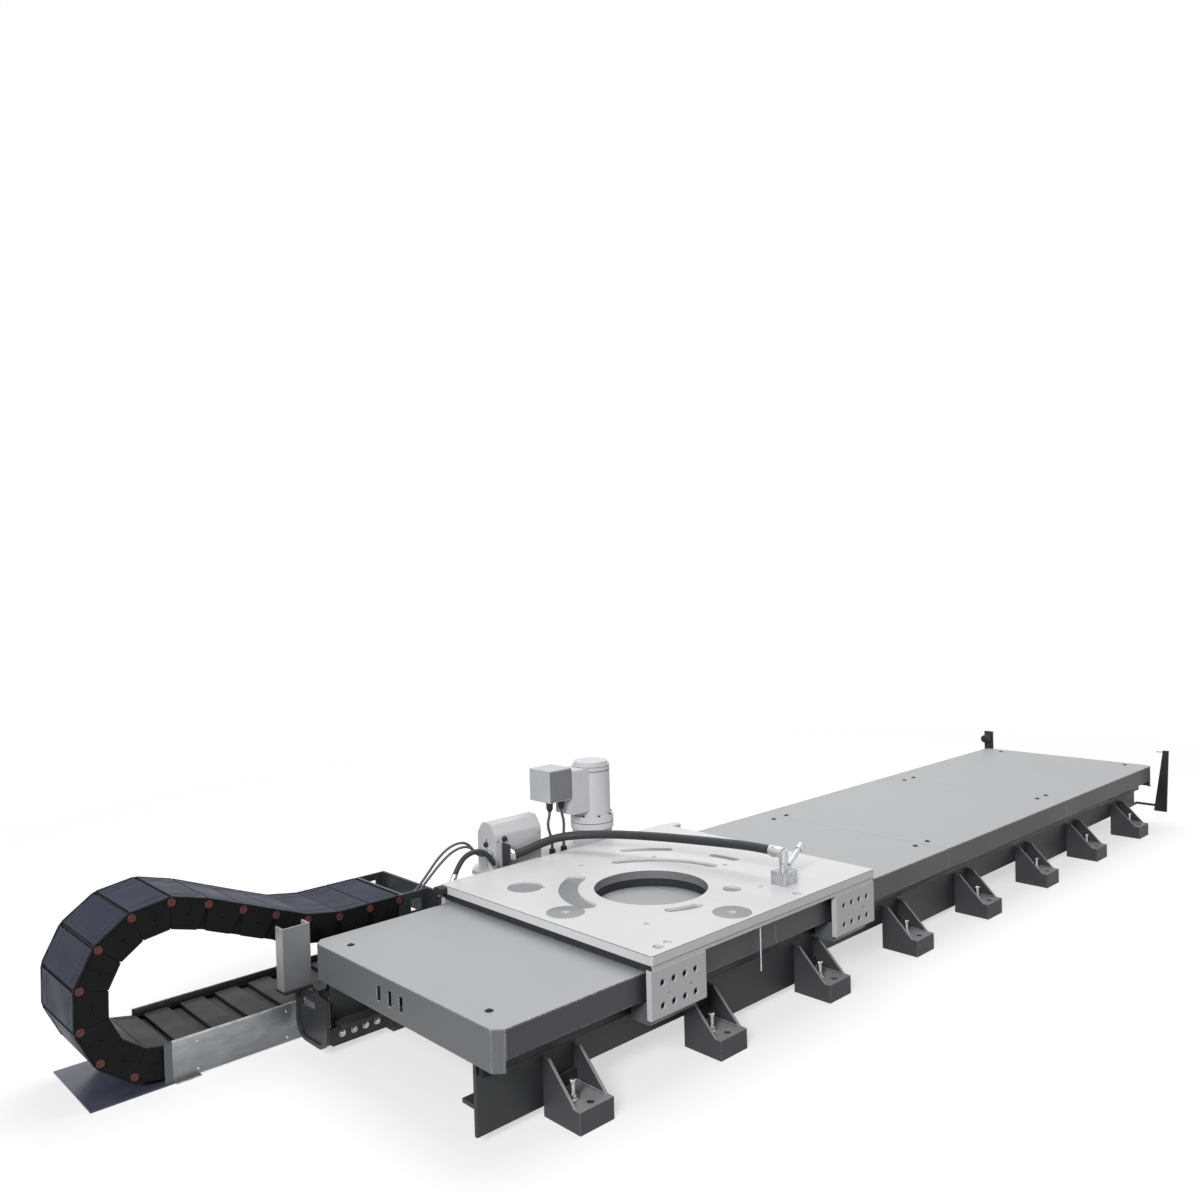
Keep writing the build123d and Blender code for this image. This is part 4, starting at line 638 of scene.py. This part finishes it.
# Cable chain
chain = {
    "pitch": 0.1215, "links": 32, "bendRadius": 0.265, "bottomZ": 0.031, "outside": 0.019, "inside": 0.081,
    "nearY": 0.599, "farY": 0.925, "wall": 0.008, "towX": bedNear + 0.397, "flatRun": 0.229,
    "loopX": bedNear - 0.439, "slope": math.radians(22), "blend": 0.45,
}


def chainPath():
    # From the tow bracket on: lines as (start, heading, length), arcs as (centre, start angle, radius,
    # signed length)
    bend, slope, blend = chain["bendRadius"], chain["slope"], chain["blend"]
    loopZ = chain["bottomZ"] + bend
    leave = (chain["loopX"] + bend * math.sin(slope), loopZ + bend * math.cos(slope))
    lowX = chain["towX"] - chain["flatRun"]
    footX = lowX - blend * math.sin(slope)
    footZ = leave[1] - (footX - leave[0]) * math.tan(slope)
    flatZ = footZ - blend * (1 - math.cos(slope))
    ramp = math.hypot(footX - leave[0], leave[1] - footZ)
    return [
        ((chain["towX"], flatZ), math.pi, chain["flatRun"]),
        ((lowX, flatZ + blend), -math.pi / 2, blend, -slope * blend),
        ((footX, footZ), math.pi - slope, ramp),
        ((chain["loopX"], loopZ), math.pi / 2 - slope, bend, (math.pi + slope) * bend),
        ((chain["loopX"], chain["bottomZ"]), 0.0, chain["pitch"] * chain["links"]),
    ]


def alongChain(path, station):
    for part in path:
        if station <= abs(part[-1]) or part is path[-1]:
            break
        station -= abs(part[-1])
    (x, z), start = part[:2]
    if len(part) == 3:
        return x + station * math.cos(start), z + station * math.sin(start)
    angle = start + math.copysign(station, part[3]) / part[2]
    return x + part[2] * math.cos(angle), z + part[2] * math.sin(angle)


def chainPlaces():
    # Each pin is one straight pitch from the last; a link's point carries its turn about Y
    path = chainPath()
    pitch = chain["pitch"]
    pins, station = [alongChain(path, 0.0)], 0.0
    for n in range(chain["links"]):
        step = pitch
        for tries in range(12):
            there = alongChain(path, station + step)
            step += pitch - math.dist(there, pins[-1])
        station += step
        pins.append(alongChain(path, station))
    places = []
    for first, second in zip(pins, pins[1:]):
        angle = math.atan2(second[1] - first[1], second[0] - first[0])
        places.append(((first[0], 0, first[1]), (0, -angle, 0)))
    return places


def linkRibs(shape):
    # Raised edges and a web on both outer faces, a disc round each pin, and the tongues that lap the next
    # link. Local X runs along the link, Z to the inside of the loop.
    pitch, outside, inside = chain["pitch"], chain["outside"], chain["inside"]
    for face, out in ((chain["nearY"], -1), (chain["farY"], 1)):
        def slab(u0, u1, z0, z1, proud):
            ys = sorted((face, face + out * proud))
            boxInto(shape, (u0, ys[0], z0), (u1, ys[1], z1))

        slab(0.012, pitch - 0.012, -outside + 0.001, -outside + 0.006, 0.0025)
        slab(0.024, pitch - 0.024, inside - 0.008, inside - 0.002, 0.0025)
        slab(pitch / 2 - 0.003, pitch / 2 + 0.003, -outside + 0.006, inside - 0.008, 0.002)
        slab(0.036, pitch - 0.036, 0.03, 0.034, 0.002)
        inner = sorted((face - out * chain["wall"], face - out * (chain["wall"] + 0.0035)))
        outline = [(-0.03, inside - 0.007), (-0.018, inside - 0.0005), (0.018, inside - 0.0005)]
        outline += [(0.03, inside - 0.007), (0.0165, 0.004)]
        for n in range(1, 8):
            angle = math.pi * n / 8
            outline.append((0.0165 * math.cos(angle), 0.004 - 0.02 * math.sin(angle)))
        outline.append((-0.0165, 0.004))
        rims = [[shape.verts.new((u, y, z)) for u, z in outline] for y in inner]
        for n in range(len(outline)):
            m = (n + 1) % len(outline)
            shape.faces.new((rims[0][n], rims[0][m], rims[1][m], rims[1][n]))
        shape.faces.new(list(reversed(rims[0])))
        shape.faces.new(rims[1])
        upright = Matrix.Translation((0, face, 0)) @ Matrix.Rotation(out * -math.pi / 2, 4, "X")
        disc = [(0.017, -0.001), (0.017, 0.0012), (0.016, 0.0022), (0.014, 0.0022)]
        turnedInto(shape, disc, 18, upright)
    across = Matrix.Translation((0, chain["nearY"] + 0.009, 0)) @ Matrix.Rotation(-math.pi / 2, 4, "X")
    turnedInto(shape, [(0.0125, 0), (0.0125, chain["farY"] - chain["nearY"] - 0.018)], 12, across)


def linkLid(shape):
    # Snap lid on the outside of the loop: a plate, two stiffening ribs and a latch at each end
    pitch, outside = chain["pitch"], chain["outside"]
    y0, y1 = chain["nearY"] + chain["wall"], chain["farY"] - chain["wall"]
    boxInto(shape, (0.003, y0, -outside + 0.0014), (pitch - 0.003, y1, -outside + 0.006))
    for y in (y0 + 0.045, y1 - 0.045):
        boxInto(shape, (0.012, y - 0.003, -outside + 0.0003), (pitch - 0.012, y + 0.003, -outside + 0.002))
    for y in (y0 + 0.004, y1 - 0.018):
        boxInto(shape, (pitch / 2 - 0.016, y, -outside), (pitch / 2 + 0.016, y + 0.014, -outside + 0.002))


def linkBar(shape):
    # Crossbar on the inside of the loop, and the lower strip that shows in the gap to the next one.
    pitch, inside = chain["pitch"], chain["inside"]
    y0, y1 = chain["nearY"] + chain["wall"], chain["farY"] - chain["wall"]
    boxInto(shape, (0.0205, y0, inside - 0.009), (pitch - 0.0205, y1, inside))
    for y in (y0 + 0.004, y1 - 0.016):
        boxInto(shape, (0.03, y, inside - 0.001), (pitch - 0.03, y + 0.012, inside + 0.0014))
    boxInto(shape, (-0.019, y0 + 0.006, inside - 0.016), (0.019, y1 - 0.006, inside - 0.012))


def linkPins(shape):
    # Red pin heads with a domed rim and a round recess in the middle.
    for face, out in ((chain["nearY"], -1), (chain["farY"], 1)):
        upright = Matrix.Translation((0, face, 0)) @ Matrix.Rotation(out * -math.pi / 2, 4, "X")
        rings = [(0.0125, 0.0), (0.0125, 0.0028), (0.0112, 0.004), (0.0075, 0.004), (0.0066, 0.003)]
        turnedInto(shape, rings + [(0.0035, 0.003)], 18, upright)


places = chainPlaces()
for name, fill, finish, slot, stoodFor, rounding in (
    ("chainLinkRibs", linkRibs, "blackPolyamide", "chain_side", (), 0.0),
    ("chainSnapLids", linkLid, "chainLidPlastic", "chain_lid", ["chain_lids"], 0.0012),
    ("chainInnerBars", linkBar, "crossbarPlastic", "chain_lid", ["chain_crossbars"], 0.001),
    ("chainPinHeads", linkPins, "redPinPlastic", "chain_pin", ["chain_pins"], 0.0),
):
    repeatPiece(name, fill, places, finish, "carriage", stoodFor, rounding=rounding)
print("chain links dressed:", len(places))


# Screws
upTurn, outRight, outLeft = (0, 0, 0), (math.pi / 2, 0, 0), (-math.pi / 2, 0, 0)
coverScrew = {
    "radius": 0.009, "height": 0.004, "lowHeight": 0.0025, "inset": 0.375, "top": 0.35, "fromEnd": 0.07,
    "seams": (-1.2, 0.0, 1.2), "fromSeam": 0.05,
}
plateScrew = {
    "radius": 0.008, "height": 0.007, "rows": (0.25, 0.32), "seat": 0.531, "shares": (0.2, 0.4, 0.6, 0.8),
}
bracketLength = 0.247
dowel = {"radius": 0.0045, "height": 0.0012, "row": 0.285, "face": 0.541, "shares": (0.3, 0.7)}
stud = {"shift": -0.03, "y": 0.487, "foot": 0.065, "feet": 8, "pitch": 0.6}
armBolt = {"x": (0.029, 0.072, 0.115, 0.158), "y": 0.376, "z": 0.07}


def buttonHead(shape):
    # Wide pressed washer below a domed head with a hexagon socket
    turnedInto(shape, [(1.45, 0.0), (1.45, 0.1), (1.35, 0.2), (0.95, 0.2)])
    rings = [(1.0, 0.15), (1.0, 0.3), (0.93, 0.6), (0.78, 0.88), (0.6, 1.0), (0.5, 1.0, True)]
    turnedInto(shape, rings + [(0.48, 0.4, True)])


def capHead(shape):
    rings = [(1.0, 0.0), (1.0, 0.88), (0.9, 1.0), (0.62, 1.0), (0.6, 1.0, True), (0.57, 0.3, True)]
    turnedInto(shape, rings)


def dowelEnd(shape):
    turnedInto(shape, [(1.0, -0.5), (1.0, 0.6), (0.85, 1.0), (0.3, 1.0)], 18)


def hexBolt(shape):
    # Washer, hexagon head with its corners turned off, in metres
    turnedInto(shape, [(0.0115, 0.0), (0.0115, 0.0014), (0.011, 0.0016), (0.008, 0.0016)])
    turnedInto(shape, [(0.0098, 0.0016, True), (0.0098, 0.007, True), (0.0084, 0.008), (0.003, 0.008)])


def levellingStud(shape):
    # Ball collar in the foot, locknut, thread drawn with a 4 mm pitch so that it shows, and the end's
    # hexagon flats
    turnedInto(shape, [(0.016, 0.0), (0.016, 0.006), (0.014, 0.008), (0.007, 0.008)])
    turnedInto(shape, [(0.0135, 0.0082, True), (0.0135, 0.0185, True), (0.012, 0.02), (0.008, 0.02)])
    rings = [(0.0072, 0.02)]
    for n in range(9):
        z = 0.0205 + n * 0.004
        rings += [(0.008, z + 0.001), (0.008, z + 0.0018), (0.007, z + 0.0028), (0.007, z + 0.0036)]
    turnedInto(shape, rings + [(0.0076, 0.057)])
    turnedInto(shape, [(0.0118, 0.056, True), (0.0118, 0.0615, True), (0.01, 0.0628), (0.003, 0.0628)])


def screwsAlong(places):
    sides = (-coverScrew["inset"], coverScrew["inset"])
    return [((x, y, coverScrew["top"]), upTurn) for x in places for y in sides]


endScrews = [bedNear + coverScrew["fromEnd"], -bedNear - coverScrew["fromEnd"]]
endScrews += [seam + side * coverScrew["fromSeam"] for seam in coverScrew["seams"] for side in (-1, 1)]
openScrews = [x for x in endScrews if not carriageSpan[0] < x < carriageSpan[1]]
coveredScrews = [x for x in endScrews if x not in openScrews]
repeatPiece(
    "coverButtonScrews", buttonHead, screwsAlong(openScrews), "blackOxideSteel", "bed",
    ["cover_screws"], coverScrew["radius"], coverScrew["height"], 1.0, 3,
)
repeatPiece(
    "coverScrewsUnderCarriage", buttonHead, screwsAlong(coveredScrews), "blackOxideSteel", "bed",
    (), coverScrew["radius"], coverScrew["lowHeight"], 1.0, 5,
)
capPlaces, dowelPlaces = [], []
for start in (carriageSpan[0], carriageSpan[1] - bracketLength):
    for side, turn in ((-1, outRight), (1, outLeft)):
        for share in plateScrew["shares"]:
            x = start + share * bracketLength
            for z in plateScrew["rows"]:
                capPlaces.append(((x, side * plateScrew["seat"], z), turn))
        for share in dowel["shares"]:
            x = start + share * bracketLength
            dowelPlaces.append(((x, side * dowel["face"], dowel["row"]), turn))
repeatPiece(
    "bracketCapScrews", capHead, capPlaces, "blackOxideSteel", "carriage",
    ["bracket_screws"], plateScrew["radius"], plateScrew["height"], 1.0, 11,
)
repeatPiece(
    "bracketDowels", dowelEnd, dowelPlaces, "groundSteel", "carriage",
    (), dowel["radius"], dowel["height"],
)
feetX = [bedNear + stud["pitch"] * (n + 0.5) for n in range(stud["feet"])]
repeatPiece(
    "levellingStuds", levellingStud,
    [((x + stud["shift"], y, stud["foot"]), upTurn) for x in feetX for y in (-stud["y"], stud["y"])],
    "zincPlate", "bed", ["levelling_screws"], spin=1.0, seed=17,
)
armPlaces = [((bedNear + x, armBolt["y"], armBolt["z"]), outRight) for x in armBolt["x"]]
repeatPiece(
    "stopArmHexBolts", hexBolt, armPlaces, "zincPlate", "bed", ["stop_arm_bolts"],
    spin=1.0, seed=23,
)
print("screws set")


# Fittings on the hoses and cables
towardX, awayX, downTurn = (0, math.pi / 2, 0), (0, -math.pi / 2, 0), (math.pi, 0, 0)
signalGlands = [
    ((-1.983, 0.62, 0.365), towardX), ((-1.983, 0.642, 0.365), towardX),
    ((-1.557, 0.62, 0.45), awayX), ((-1.557, 0.642, 0.45), awayX),
]
motorGlands = [((-1.239, 0.625, 0.382), upTurn), ((-1.175, 0.625, 0.382), upTurn)]
plugs = [((-1.247, 0.625, 0.602), downTurn), ((-1.183, 0.625, 0.602), downTurn)]
boxPlugs = [((-1.513, 0.5975, 0.504), outRight), ((-1.5565, 0.655, 0.48), awayX)]
gland = {"wall": 0.005, "height": 0.009, "seed": 31}  # wall is what the nut adds to the cable's radius


def glandNut(shape):
    # Hexagon at the wall, then a ribbed cap that closes on the cable
    turnedInto(shape, [(1.28, 0.0, True), (1.28, 0.95, True), (1.18, 1.05), (0.9, 1.05)])
    rings = [(1.12, 1.1)]
    for n in range(4):
        rings += [(1.2, 1.2 + n * 0.32), (1.2, 1.36 + n * 0.32), (1.13, 1.4 + n * 0.32)]
    turnedInto(shape, rings + [(1.02, 2.55), (0.75, 2.7)])


def plugBody(shape):
    # Grip sleeve of a round connector with its ribs and the clamp ring at the box
    turnedInto(shape, [(0.016, -0.001), (0.016, 0.007), (0.015, 0.008), (0.012, 0.008)])
    rings = [(0.0135, 0.008)]
    for n in range(4):
        rings += [(0.0145, 0.01 + n * 0.005), (0.0145, 0.012 + n * 0.005), (0.0135, 0.013 + n * 0.005)]
    turnedInto(shape, rings + [(0.011, 0.034), (0.0078, 0.04), (0.005, 0.04)])


def blindPlug(shape):
    turnedInto(shape, [(0.0125, 0.0, True), (0.0125, 0.004, True), (0.011, 0.005), (0.01, 0.005)])
    turnedInto(shape, [(0.0095, 0.005), (0.0095, 0.009), (0.0075, 0.011), (0.006, 0.011), (0.005, 0.008)])


for name, glands, cableRadius, finish, slot in (
    ("signalGlandNuts", signalGlands, 0.005, "anodisedAluminium", "fittings"),
    ("motorGlandNuts", motorGlands, 0.006, "blackRubber", "rubber"),
):
    repeatPiece(
        name, glandNut, glands, finish, "carriage", (),
        cableRadius + gland["wall"], gland["height"], 1.0, gland["seed"],
    )
repeatPiece("connectorPlugs", plugBody, plugs, "blackRubber", "carriage")
repeatPiece("housingPlugs", blindPlug, boxPlugs, "blackRubber", "carriage")

ferrule = {
    "rings": [(0.0225, 0.01, True), (0.0225, 0.023, True), (0.0205, 0.025), (0.018, 0.025)],
    "housingEnd": (-1.521, 0.57, 0.44), "blockEnd": (-1.012, -0.342, 0.522), "wider": 0.004,
}


def hoseCollars(shape):
    # Crimped ferrules at both ends of the thick hose, the wider one at the housing
    wide = [(ring[0] + ferrule["wider"],) + ring[1:] for ring in ferrule["rings"]]
    for place, axis, rings in (
        (ferrule["housingEnd"], "Y", wide), (ferrule["blockEnd"], "X", ferrule["rings"]),
    ):
        turnedInto(shape, rings, 24, Matrix.Translation(place) @ Matrix.Rotation(math.pi / 2, 4, axis))


seams = {  # radius, low and high of each band, then the housing's lid
    "bands": ((0.0824, 0.6985, 0.7015), (0.0824, 0.718, 0.7195), (0.0944, 0.476, 0.4785)),
    "lid": ((-1.5578, 0.6535, 0.386), (-1.3212, 0.655, 0.505)),
}


def motorTrim(shape):
    # Seam bands of the motor's cap and flange, the joint of drive and gearbox, and the housing's seam
    for radius, low, high in seams["bands"]:
        turnedInto(shape, [(radius, low), (radius, high)], 64, Matrix.Translation((*motorAxis, 0)))
    boxInto(shape, *seams["lid"])


def weldBead(shape):
    # Overlapping ripples of one pass, 120 mm long, drawn 6 mm apart so that they show
    rings = [(0.001, 0.0)]
    for n in range(20):
        rings += [(0.0046, 0.0015 + n * 0.006), (0.005, 0.003 + n * 0.006), (0.004, 0.0055 + n * 0.006)]
    turnedInto(shape, rings + [(0.001, 0.122)], 8)


trough = {
    "hemY": ((0.5865, 0.593), (0.935, 0.9415)), "hemZ": (0.127, 0.1322), "near": bedNear - 0.441,
    "far": -bedNear + 0.03, "lipX": (bedNear - 0.464, bedNear - 0.4405), "lipTop": 0.1318,
    "tab": ((bedNear - 0.436, 0.57, 0.0), (bedNear - 0.357, 0.5885, 0.0045)),
}
rivet = {
    "count": 17, "start": bedNear - 0.36, "pitch": 0.3, "y": 0.588, "z": (0.02, 0.108),
    "radius": 0.005, "height": 0.0022,
}


def troughTrim(shape):
    # Rolled hems on both upper edges and a floor tab at the near end; the hems' bright zinc is a painted
    # highlight along the top edges
    for low, high in trough["hemY"]:
        boxInto(shape, (trough["near"], low, trough["hemZ"][0]), (trough["far"], high, trough["hemZ"][1]))
    boxInto(shape, *trough["tab"])


def leadInLip(shape):
    # Folded lip that leads the chain into the trough, with its own hem; its darker grey paint is painted
    # shade on galvanised sheet
    (near, far), top = trough["lipX"], trough["lipTop"]
    boxInto(shape, (near, 0.587, 0.0045), (far, 0.59, top))
    boxInto(shape, (near, 0.5865, top - 0.005), (far, 0.5905, top))


backPlate = {"half": 0.0548, "y": (0.4005, 0.412), "z": (0.0645, 0.104)}


def footBackPlates(shape):
    # Plate behind each levelling screw, from the foot's block up to the beam's web
    (inner, outer), (foot, top) = backPlate["y"], backPlate["z"]
    for x in feetX:
        for low, high in ((-outer, -inner), (inner, outer)):
            boxInto(shape, (x - backPlate["half"], low, foot), (x + backPlate["half"], high, top))


sleeveSection = [(0.207, 0.3545), (0.207, 0.3812), (0.219, 0.3812), (0.219, 0.3675), (0.212, 0.3545)]
boltSeat = {
    "centres": ((-1.7585, -0.0483), (-1.3847, -0.4635)),
    "section": [(0.014, 0.412), (0.014, 0.4124), (0.062, 0.4124), (0.0655, 0.412)],
}


def boreSleeve(shape):
    # Black ring in the rubber finish, in the second plate's bore down to just above the cover: painted
    # shade, the dark band below the bore's wall
    ringInto(shape, sleeveSection, boreCentre, 96)


def boltSeats(shape):
    # Two shallow seats about bolt holes on the sides where the photograph shows a grey disc
    # The discs' grey is painted shade, standing for the shade in a pocket
    for centre in boltSeat["centres"]:
        ringInto(shape, boltSeat["section"], centre, 64)


edgeShadeStrip = {"inset": (0.0025, 0.0055), "y": 0.5395, "z": (0.36, 0.3818)}


def edgeShadeStrips(shape):
    # Black strips in the rubber finish on the carriage's two ends: painted shade, the dark line under the
    # plate's edge
    (thin, thick), (low, high) = edgeShadeStrip["inset"], edgeShadeStrip["z"]
    near, far = carriageSpan
    for start, end in ((near + thin, near + thick), (far - thick, far - thin)):
        boxInto(shape, (start, -edgeShadeStrip["y"], low), (end, edgeShadeStrip["y"], high))


def rivetHead(shape):
    turnedInto(shape, [(1.0, 0.0), (0.95, 0.35), (0.75, 0.7), (0.4, 0.95), (0.15, 1.0)], 12)


connectorCover = {
    "low": (-1.2665, 0.5945, 0.6055), "high": (-1.1465, 0.5965, 0.731),
    "screwX": (-1.258, -1.155), "screwZ": (0.613, 0.723),
    "screw": [(0.0042, -0.0005), (0.0042, 0.0018), (0.0034, 0.0026), (0.0018, 0.0026)],
}


def connectorLid(shape):
    # Raised lid on the connector box's outer side, with its four screws
    boxInto(shape, connectorCover["low"], connectorCover["high"])
    for x in connectorCover["screwX"]:
        for z in connectorCover["screwZ"]:
            place = Matrix.Translation((x, connectorCover["low"][1], z))
            turnedInto(shape, connectorCover["screw"], 16, place @ Matrix.Rotation(math.pi / 2, 4, "X"))


for name, fill, finish, body, slot, rounding in (
    ("hoseFerrules", hoseCollars, "zincPlate", "carriage", "zinc_screws", 0.0006),
    ("motorSeamBands", motorTrim, "blackRubber", "carriage", "rubber", 0.0),
    ("footBackPlates", footBackPlates, "charcoalBeamPaint", "bed", "beam_paint", 0.0008),
    ("boreDustSleeve", boreSleeve, "blackRubber", "carriage", "rubber", 0.0),
    ("boltHoleSeats", boltSeats, "wornSeatEnamel", "carriage", "carriage_paint", 0.0),
    ("carriageEdgeLips", edgeShadeStrips, "blackRubber", "carriage", "rubber", 0.0006),
    ("connectorBoxLid", connectorLid, "connectorLidPlastic", "carriage", "housing_plastic", 0.0007),
    ("troughHems", troughTrim, "zincPlate", "bed", "galvanised", 0.0008),
    ("troughLeadInLip", leadInLip, "shoeHousingPaint", "bed", "galvanised", 0.0008),
):
    meshPiece(name, shapeMesh(name, fill, rounding), body, materials[finish])
flangeScrew = {"count": 8, "circle": 0.0882, "seat": 0.507, "radius": 0.0048, "height": 0.005}
flangeAngles = [math.tau * (n + 0.5) / flangeScrew["count"] for n in range(flangeScrew["count"])]
flangePlaces = [(
    (
        motorAxis[0] + flangeScrew["circle"] * math.cos(angle),
        motorAxis[1] + flangeScrew["circle"] * math.sin(angle), flangeScrew["seat"],
    ), upTurn,
) for angle in flangeAngles]
repeatPiece(
    "motorFlangeScrews", capHead, flangePlaces, "blackOxideSteel", "carriage", (),
    flangeScrew["radius"], flangeScrew["height"], 1.0, 37,
)
lidScrew = {"x": (-1.545, -1.334), "y": 0.5972, "z": (0.398, 0.5), "radius": 0.005, "height": 0.003}
housingScrews = [((x, lidScrew["y"], z), outRight) for x in lidScrew["x"] for z in lidScrew["z"]]
repeatPiece(
    "housingLidScrews", capHead, housingScrews, "zincPlate", "carriage", (),
    lidScrew["radius"], lidScrew["height"], 1.0, 41,
)
bead = {"shift": 0.0545, "y": 0.404, "z": 0.0655}
beads = [
    ((x + shift, side * bead["y"], bead["z"]), (side * -math.pi / 2, 0, 0))
    for x in feetX for shift in (-bead["shift"], bead["shift"]) for side in (-1, 1)
]
repeatPiece("footWeldBeads", weldBead, beads, "footCastingPaint", "bed")
rivetPlaces = [
    ((rivet["start"] + n * rivet["pitch"], rivet["y"], z), outRight)
    for n in range(rivet["count"]) for z in rivet["z"]
]
repeatPiece(
    "troughRivets", rivetHead, rivetPlaces, "zincPlate", "bed", (),
    rivet["radius"], rivet["height"],
)
print("fittings, seams and welds set")


# Floor and light
studio = {
    "floorHalf": 40.0,
    "floorColour": "#bfbfbf",
    "floorGlow": 0.6,  # even part of the floor's white, seen by the camera only
    "bounceColour": "#707070",
    "clearFrom": 3.6,  # metres from the bed's middle where the floor starts to pass into the backdrop
    "clearTo": 6.0,
    "ambient": 0.18,
    "key": {"place": (1.2, 1.6, 6.5), "aim": (0, 0, 0), "size": 7.0, "power": 290.0},
    "side": {"place": (-11.0, -5.5, 6.5), "aim": (-1.0, 0, 0.3), "size": 4.0, "power": 920.0},
}


def seenDirectly(tree):
    # 1 for rays from the camera or mirrored in gloss and glass, 0 for light that bounces
    path = addNode(tree, "ShaderNodeLightPath")
    first = addNode(tree, "ShaderNodeMath", None, {
        0: path.outputs["Is Camera Ray"], 1: path.outputs["Is Glossy Ray"],
    }, operation="MAXIMUM")
    return addNode(tree, "ShaderNodeMath", None, {
        0: first, 1: path.outputs["Is Transmission Ray"],
    }, operation="MAXIMUM")


def layFloor():
    half = studio["floorHalf"]
    mesh = bpy.data.meshes.new("floor")
    corners = [(-half, -half, 0), (half, -half, 0), (half, half, 0), (-half, half, 0)]
    mesh.from_pydata(corners, [], [(0, 1, 2, 3)])
    floor = addObject("floor", mesh)
    material, tree, shader = newMaterial("studioFloor", 0.9)
    seen = seenDirectly(tree)
    shade = addNode(tree, "ShaderNodeMix", {
        6: linearColour(studio["bounceColour"]), 7: linearColour(studio["floorColour"]),
    }, {0: seen}, data_type="RGBA")
    glow = addNode(tree, "ShaderNodeMath", {1: studio["floorGlow"]}, {0: seen}, operation="MULTIPLY")
    shader.inputs["Emission Color"].default_value = (1, 1, 1, 1)
    linkInto(tree, shader, {"Base Color": shade.outputs[2], "Emission Strength": glow})
    where = addNode(tree, "ShaderNodeTexCoord").outputs["Object"]
    far = addNode(tree, "ShaderNodeVectorMath", None, {0: where}, operation="LENGTH")
    cleared = addNode(tree, "ShaderNodeMapRange", {
        "From Min": studio["clearFrom"], "From Max": studio["clearTo"],
    }, {"Value": far.outputs["Value"]}, interpolation_type="SMOOTHSTEP")
    share = addNode(tree, "ShaderNodeMath", None, {0: cleared, 1: seen}, operation="MULTIPLY")
    white = addNode(tree, "ShaderNodeEmission", {"Color": (1, 1, 1, 1), "Strength": 1.0})
    mixed = addNode(tree, "ShaderNodeMixShader", None, {0: share, 1: shader, 2: white})
    linkInto(tree, tree.nodes["Material Output"], {"Surface": mixed})
    mesh.materials.append(material)


def hangLamp(name, lamp):
    data = bpy.data.lights.new(name, "AREA")
    data.shape = "DISK"
    data.size = lamp["size"]
    data.energy = lamp["power"]
    light = addObject(name, data)
    light.location = lamp["place"]
    away = Vector(lamp["place"]) - Vector(lamp["aim"])
    light.rotation_euler = away.to_track_quat("Z", "Y").to_euler()


def fillWorld():
    world = bpy.data.worlds.new("studio")
    world.use_nodes = True
    tree = world.node_tree
    strength = addNode(tree, "ShaderNodeMix", {2: studio["ambient"], 3: 1.0}, {0: seenDirectly(tree)})
    backdrop = tree.nodes["Background"]
    linkInto(tree, backdrop, {"Strength": strength})
    backdrop.inputs["Color"].default_value = (1, 1, 1, 1)
    bpy.context.scene.world = world


layFloor()
hangLamp("keyLamp", studio["key"])
hangLamp("sideLamp", studio["side"])
fillWorld()
bpy.context.scene.view_settings.view_transform = "Standard"
print("floor and lamps set")

bpy.context.view_layer.update()
